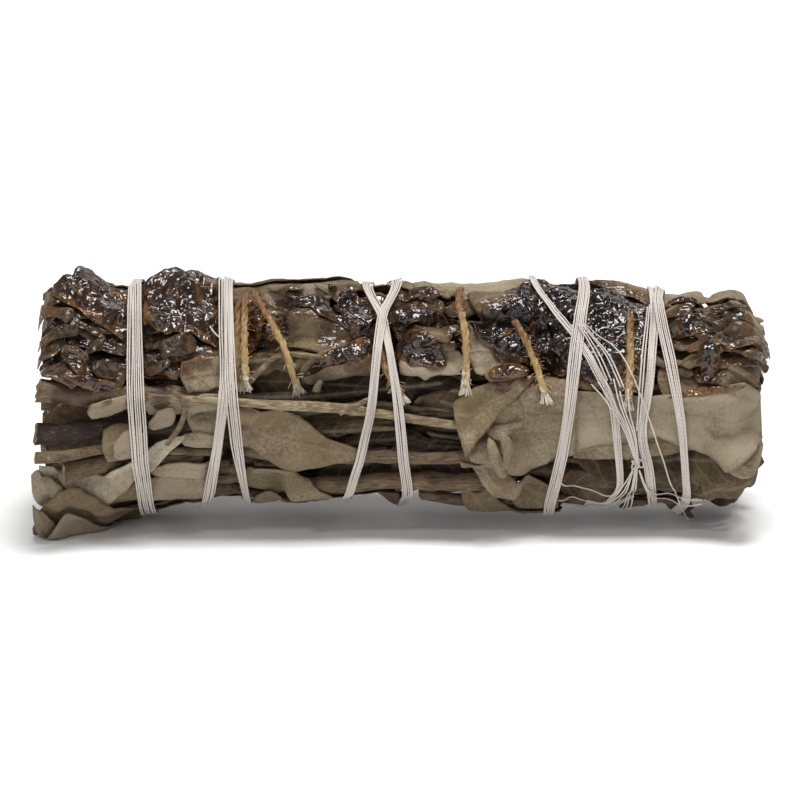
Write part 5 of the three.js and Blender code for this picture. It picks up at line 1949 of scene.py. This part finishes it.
def usual_height():
    """The laid height, averaged along and round the bunch."""
    along = round(PRESS["along"] / X_STEP)
    around = round(math.degrees(PRESS["around"] / BODY_RADIUS) / ANGLE_STEP)
    laid = outside.ground(LEAF_REACH)
    covered = (laid > PRESS["covered"]).astype(float)
    totals = []
    for values in (laid * covered, covered):
        values = filtered(values, along, np.mean, 0)
        totals.append(filtered(values, around, np.mean, 1))
    return np.maximum(totals[0], 1e-6) / np.maximum(totals[1], 1e-6)


CROWNS = (
    {"place": spot(575, 284), "along": 14.0, "around": 26.0, "rise": 3.0},
    {"place": spot(190, 276), "along": 7.0, "around": 26.0, "rise": 1.2},
    {"place": spot(108, 276), "along": 5.0, "around": 26.0, "rise": -1.0},
    {"place": (-45.0, -70.0), "along": 10.0, "around": 36.0, "rise": 1.8},
    {"place": (24.0, -60.0), "along": 17.0, "around": 36.0, "rise": 2.3},
    {"place": (-3.0, -65.0), "along": 6.0, "around": 40.0, "rise": 1.0},
    {"place": spot(395, 281), "along": 6.0, "around": 26.0, "rise": 1.6},
    {"place": spot(478, 281), "along": 6.0, "around": 26.0, "rise": -1.6},
    {"place": (0.0, 180.0), "along": 60.0, "around": 60.0, "rise": -1.0},
)


def crown(x, angle):
    """How far the bunch stands out more than usual, or less, at a place."""
    rise = 0
    for heap in CROWNS:
        near = ((x - heap["place"][0]) / heap["along"]) ** 2
        turned = np.mod(angle - heap["place"][1] + 180, 360) - 180
        near = near + (turned / heap["around"]) ** 2
        rise = rise + heap["rise"] * np.exp(-near)
    return rise


def press(points, heights):
    """Points moved in or out by how high the bunch is piled under them."""
    angle, radius = round_and_out(points)
    wanted = PRESS["radius"] + PRESS["forward"] * np.cos(np.radians(angle))
    wanted = wanted + crown(points[..., 0], angle)
    squeeze = wanted / read_grid(heights, points[..., 0], angle)
    squeeze = np.clip(squeeze, PRESS["least"], PRESS["most"])
    return straight(points[..., 0], angle, radius * squeeze)


heights = usual_height()
for name, laid in laid_points.items():
    mesh = bpy.data.objects[name].data
    mesh.vertices.foreach_set("co", settle(press(laid, heights)).ravel())
    mesh.update()
print("pressed", len(laid_points), "pieces")

# %% [markdown]
# ## Floor
# The bunch lies on plain white paper, which only has to catch its shadow. One large square with a
# faint grain is enough.

# %% Floor
FLOOR_SIZE = 6.0
floor_mesh = bpy.data.meshes.new("floor")
corner = FLOOR_SIZE / 2
floor_mesh.from_pydata(
    [(-corner, -corner, 0), (corner, -corner, 0), (corner, corner, 0), (-corner, corner, 0)],
    [], [(0, 1, 2, 3)])
floor = bpy.data.objects.new("floor", floor_mesh)
bpy.context.collection.objects.link(floor)
floor_finish = Finish("white_floor")
paper = floor_finish.noise(8.0)
floor_mesh.materials.append(floor_finish.surface(
    Base_Color=floor_finish.mix(paper, linear(250, 250, 250), linear(253, 253, 253)),
    Roughness=0.9,
    Specular_IOR_Level=0.1,
))
print("floor of", FLOOR_SIZE, "m")

# %% [markdown]
# ## Light
# The photograph has one big soft light above and little shadow. An environment picture could give
# that, but a few round lamps are easier to set: a large one above, weaker ones in front and behind,
# and two small ones, whose reflections are the bright points on the wet resin.

# %% Light
ROOM_LIGHT = 0.22
LAMP_TARGET = (0.0, 0.0, 0.015)
LIGHTS = {
    "overhead": {"place": (0.05, -0.05, 0.70), "size": 0.34, "power": 4.9},
    "front": {"place": (-0.35, -0.85, 0.35), "size": 0.60, "power": 1.8},
    "back": {"place": (0.30, 0.70, 0.55), "size": 0.60, "power": 1.4},
    "sparkle_left": {"place": (-0.35, -0.40, 0.60), "size": 0.07, "power": 0.6},
    "sparkle_right": {"place": (0.30, -0.20, 0.70), "size": 0.07, "power": 0.6},
}


def soft_light(name, place, size, power):
    lamp = bpy.data.lights.new(name, "AREA")
    lamp.shape = "DISK"
    lamp.size = size
    lamp.energy = power
    light = bpy.data.objects.new(name, lamp)
    light.location = place
    aim = np.array(LAMP_TARGET) - np.array(place)
    light.rotation_euler = Vector(aim).to_track_quat("-Z", "Y").to_euler()
    bpy.context.collection.objects.link(light)


for name, light in LIGHTS.items():
    soft_light(name, **light)
world = bpy.data.worlds.new("bright_room")
world.use_nodes = True
background = world.node_tree.nodes["Background"]
background.inputs["Color"].default_value = (1.0, 1.0, 1.0, 1.0)
background.inputs["Strength"].default_value = ROOM_LIGHT
bpy.context.scene.world = world
bpy.context.scene.view_settings.view_transform = "Standard"
print("lights:", ", ".join(LIGHTS))

# %% [markdown]
# ## Camera
# The camera stands far off with a long lens, as for a product picture, 15 degrees above the floor.
# It could be lined up by eye. Since leaves were placed by pixels, it is worked out from the same
# scale and middle instead, so each pixel of the render shows what was placed there.

# %% Camera
CAMERA = {"distance": 1.20, "picture": 800, "sensor": 36.0}
half_picture = CAMERA["picture"] / 2
tilt = math.radians(PICTURE["tilt"])
look_from = np.array([0.0, -math.cos(tilt), math.sin(tilt)])
picture_up = np.array([0.0, math.sin(tilt), math.cos(tilt)])
picture_right = np.array([1.0, 0.0, 0.0])
right_of_middle = (half_picture - PICTURE["middle"]) * PICTURE["scale"]
above_axis = (PICTURE["axis_row"] - half_picture) * PICTURE["scale"]
aim = (AXIS + right_of_middle * picture_right + above_axis * picture_up) * MM
camera_data = bpy.data.cameras.new("camera")
camera_data.sensor_width = CAMERA["sensor"]
view_width = CAMERA["picture"] * PICTURE["scale"] * MM
camera_data.lens = CAMERA["sensor"] * CAMERA["distance"] / view_width
camera = bpy.data.objects.new("camera", camera_data)
camera.location = aim + look_from * CAMERA["distance"]
camera.rotation_euler = (math.pi / 2 - tilt, 0.0, 0.0)
bpy.context.collection.objects.link(camera)
bpy.context.scene.camera = camera
print("lens", round(camera_data.lens, 1), "mm")
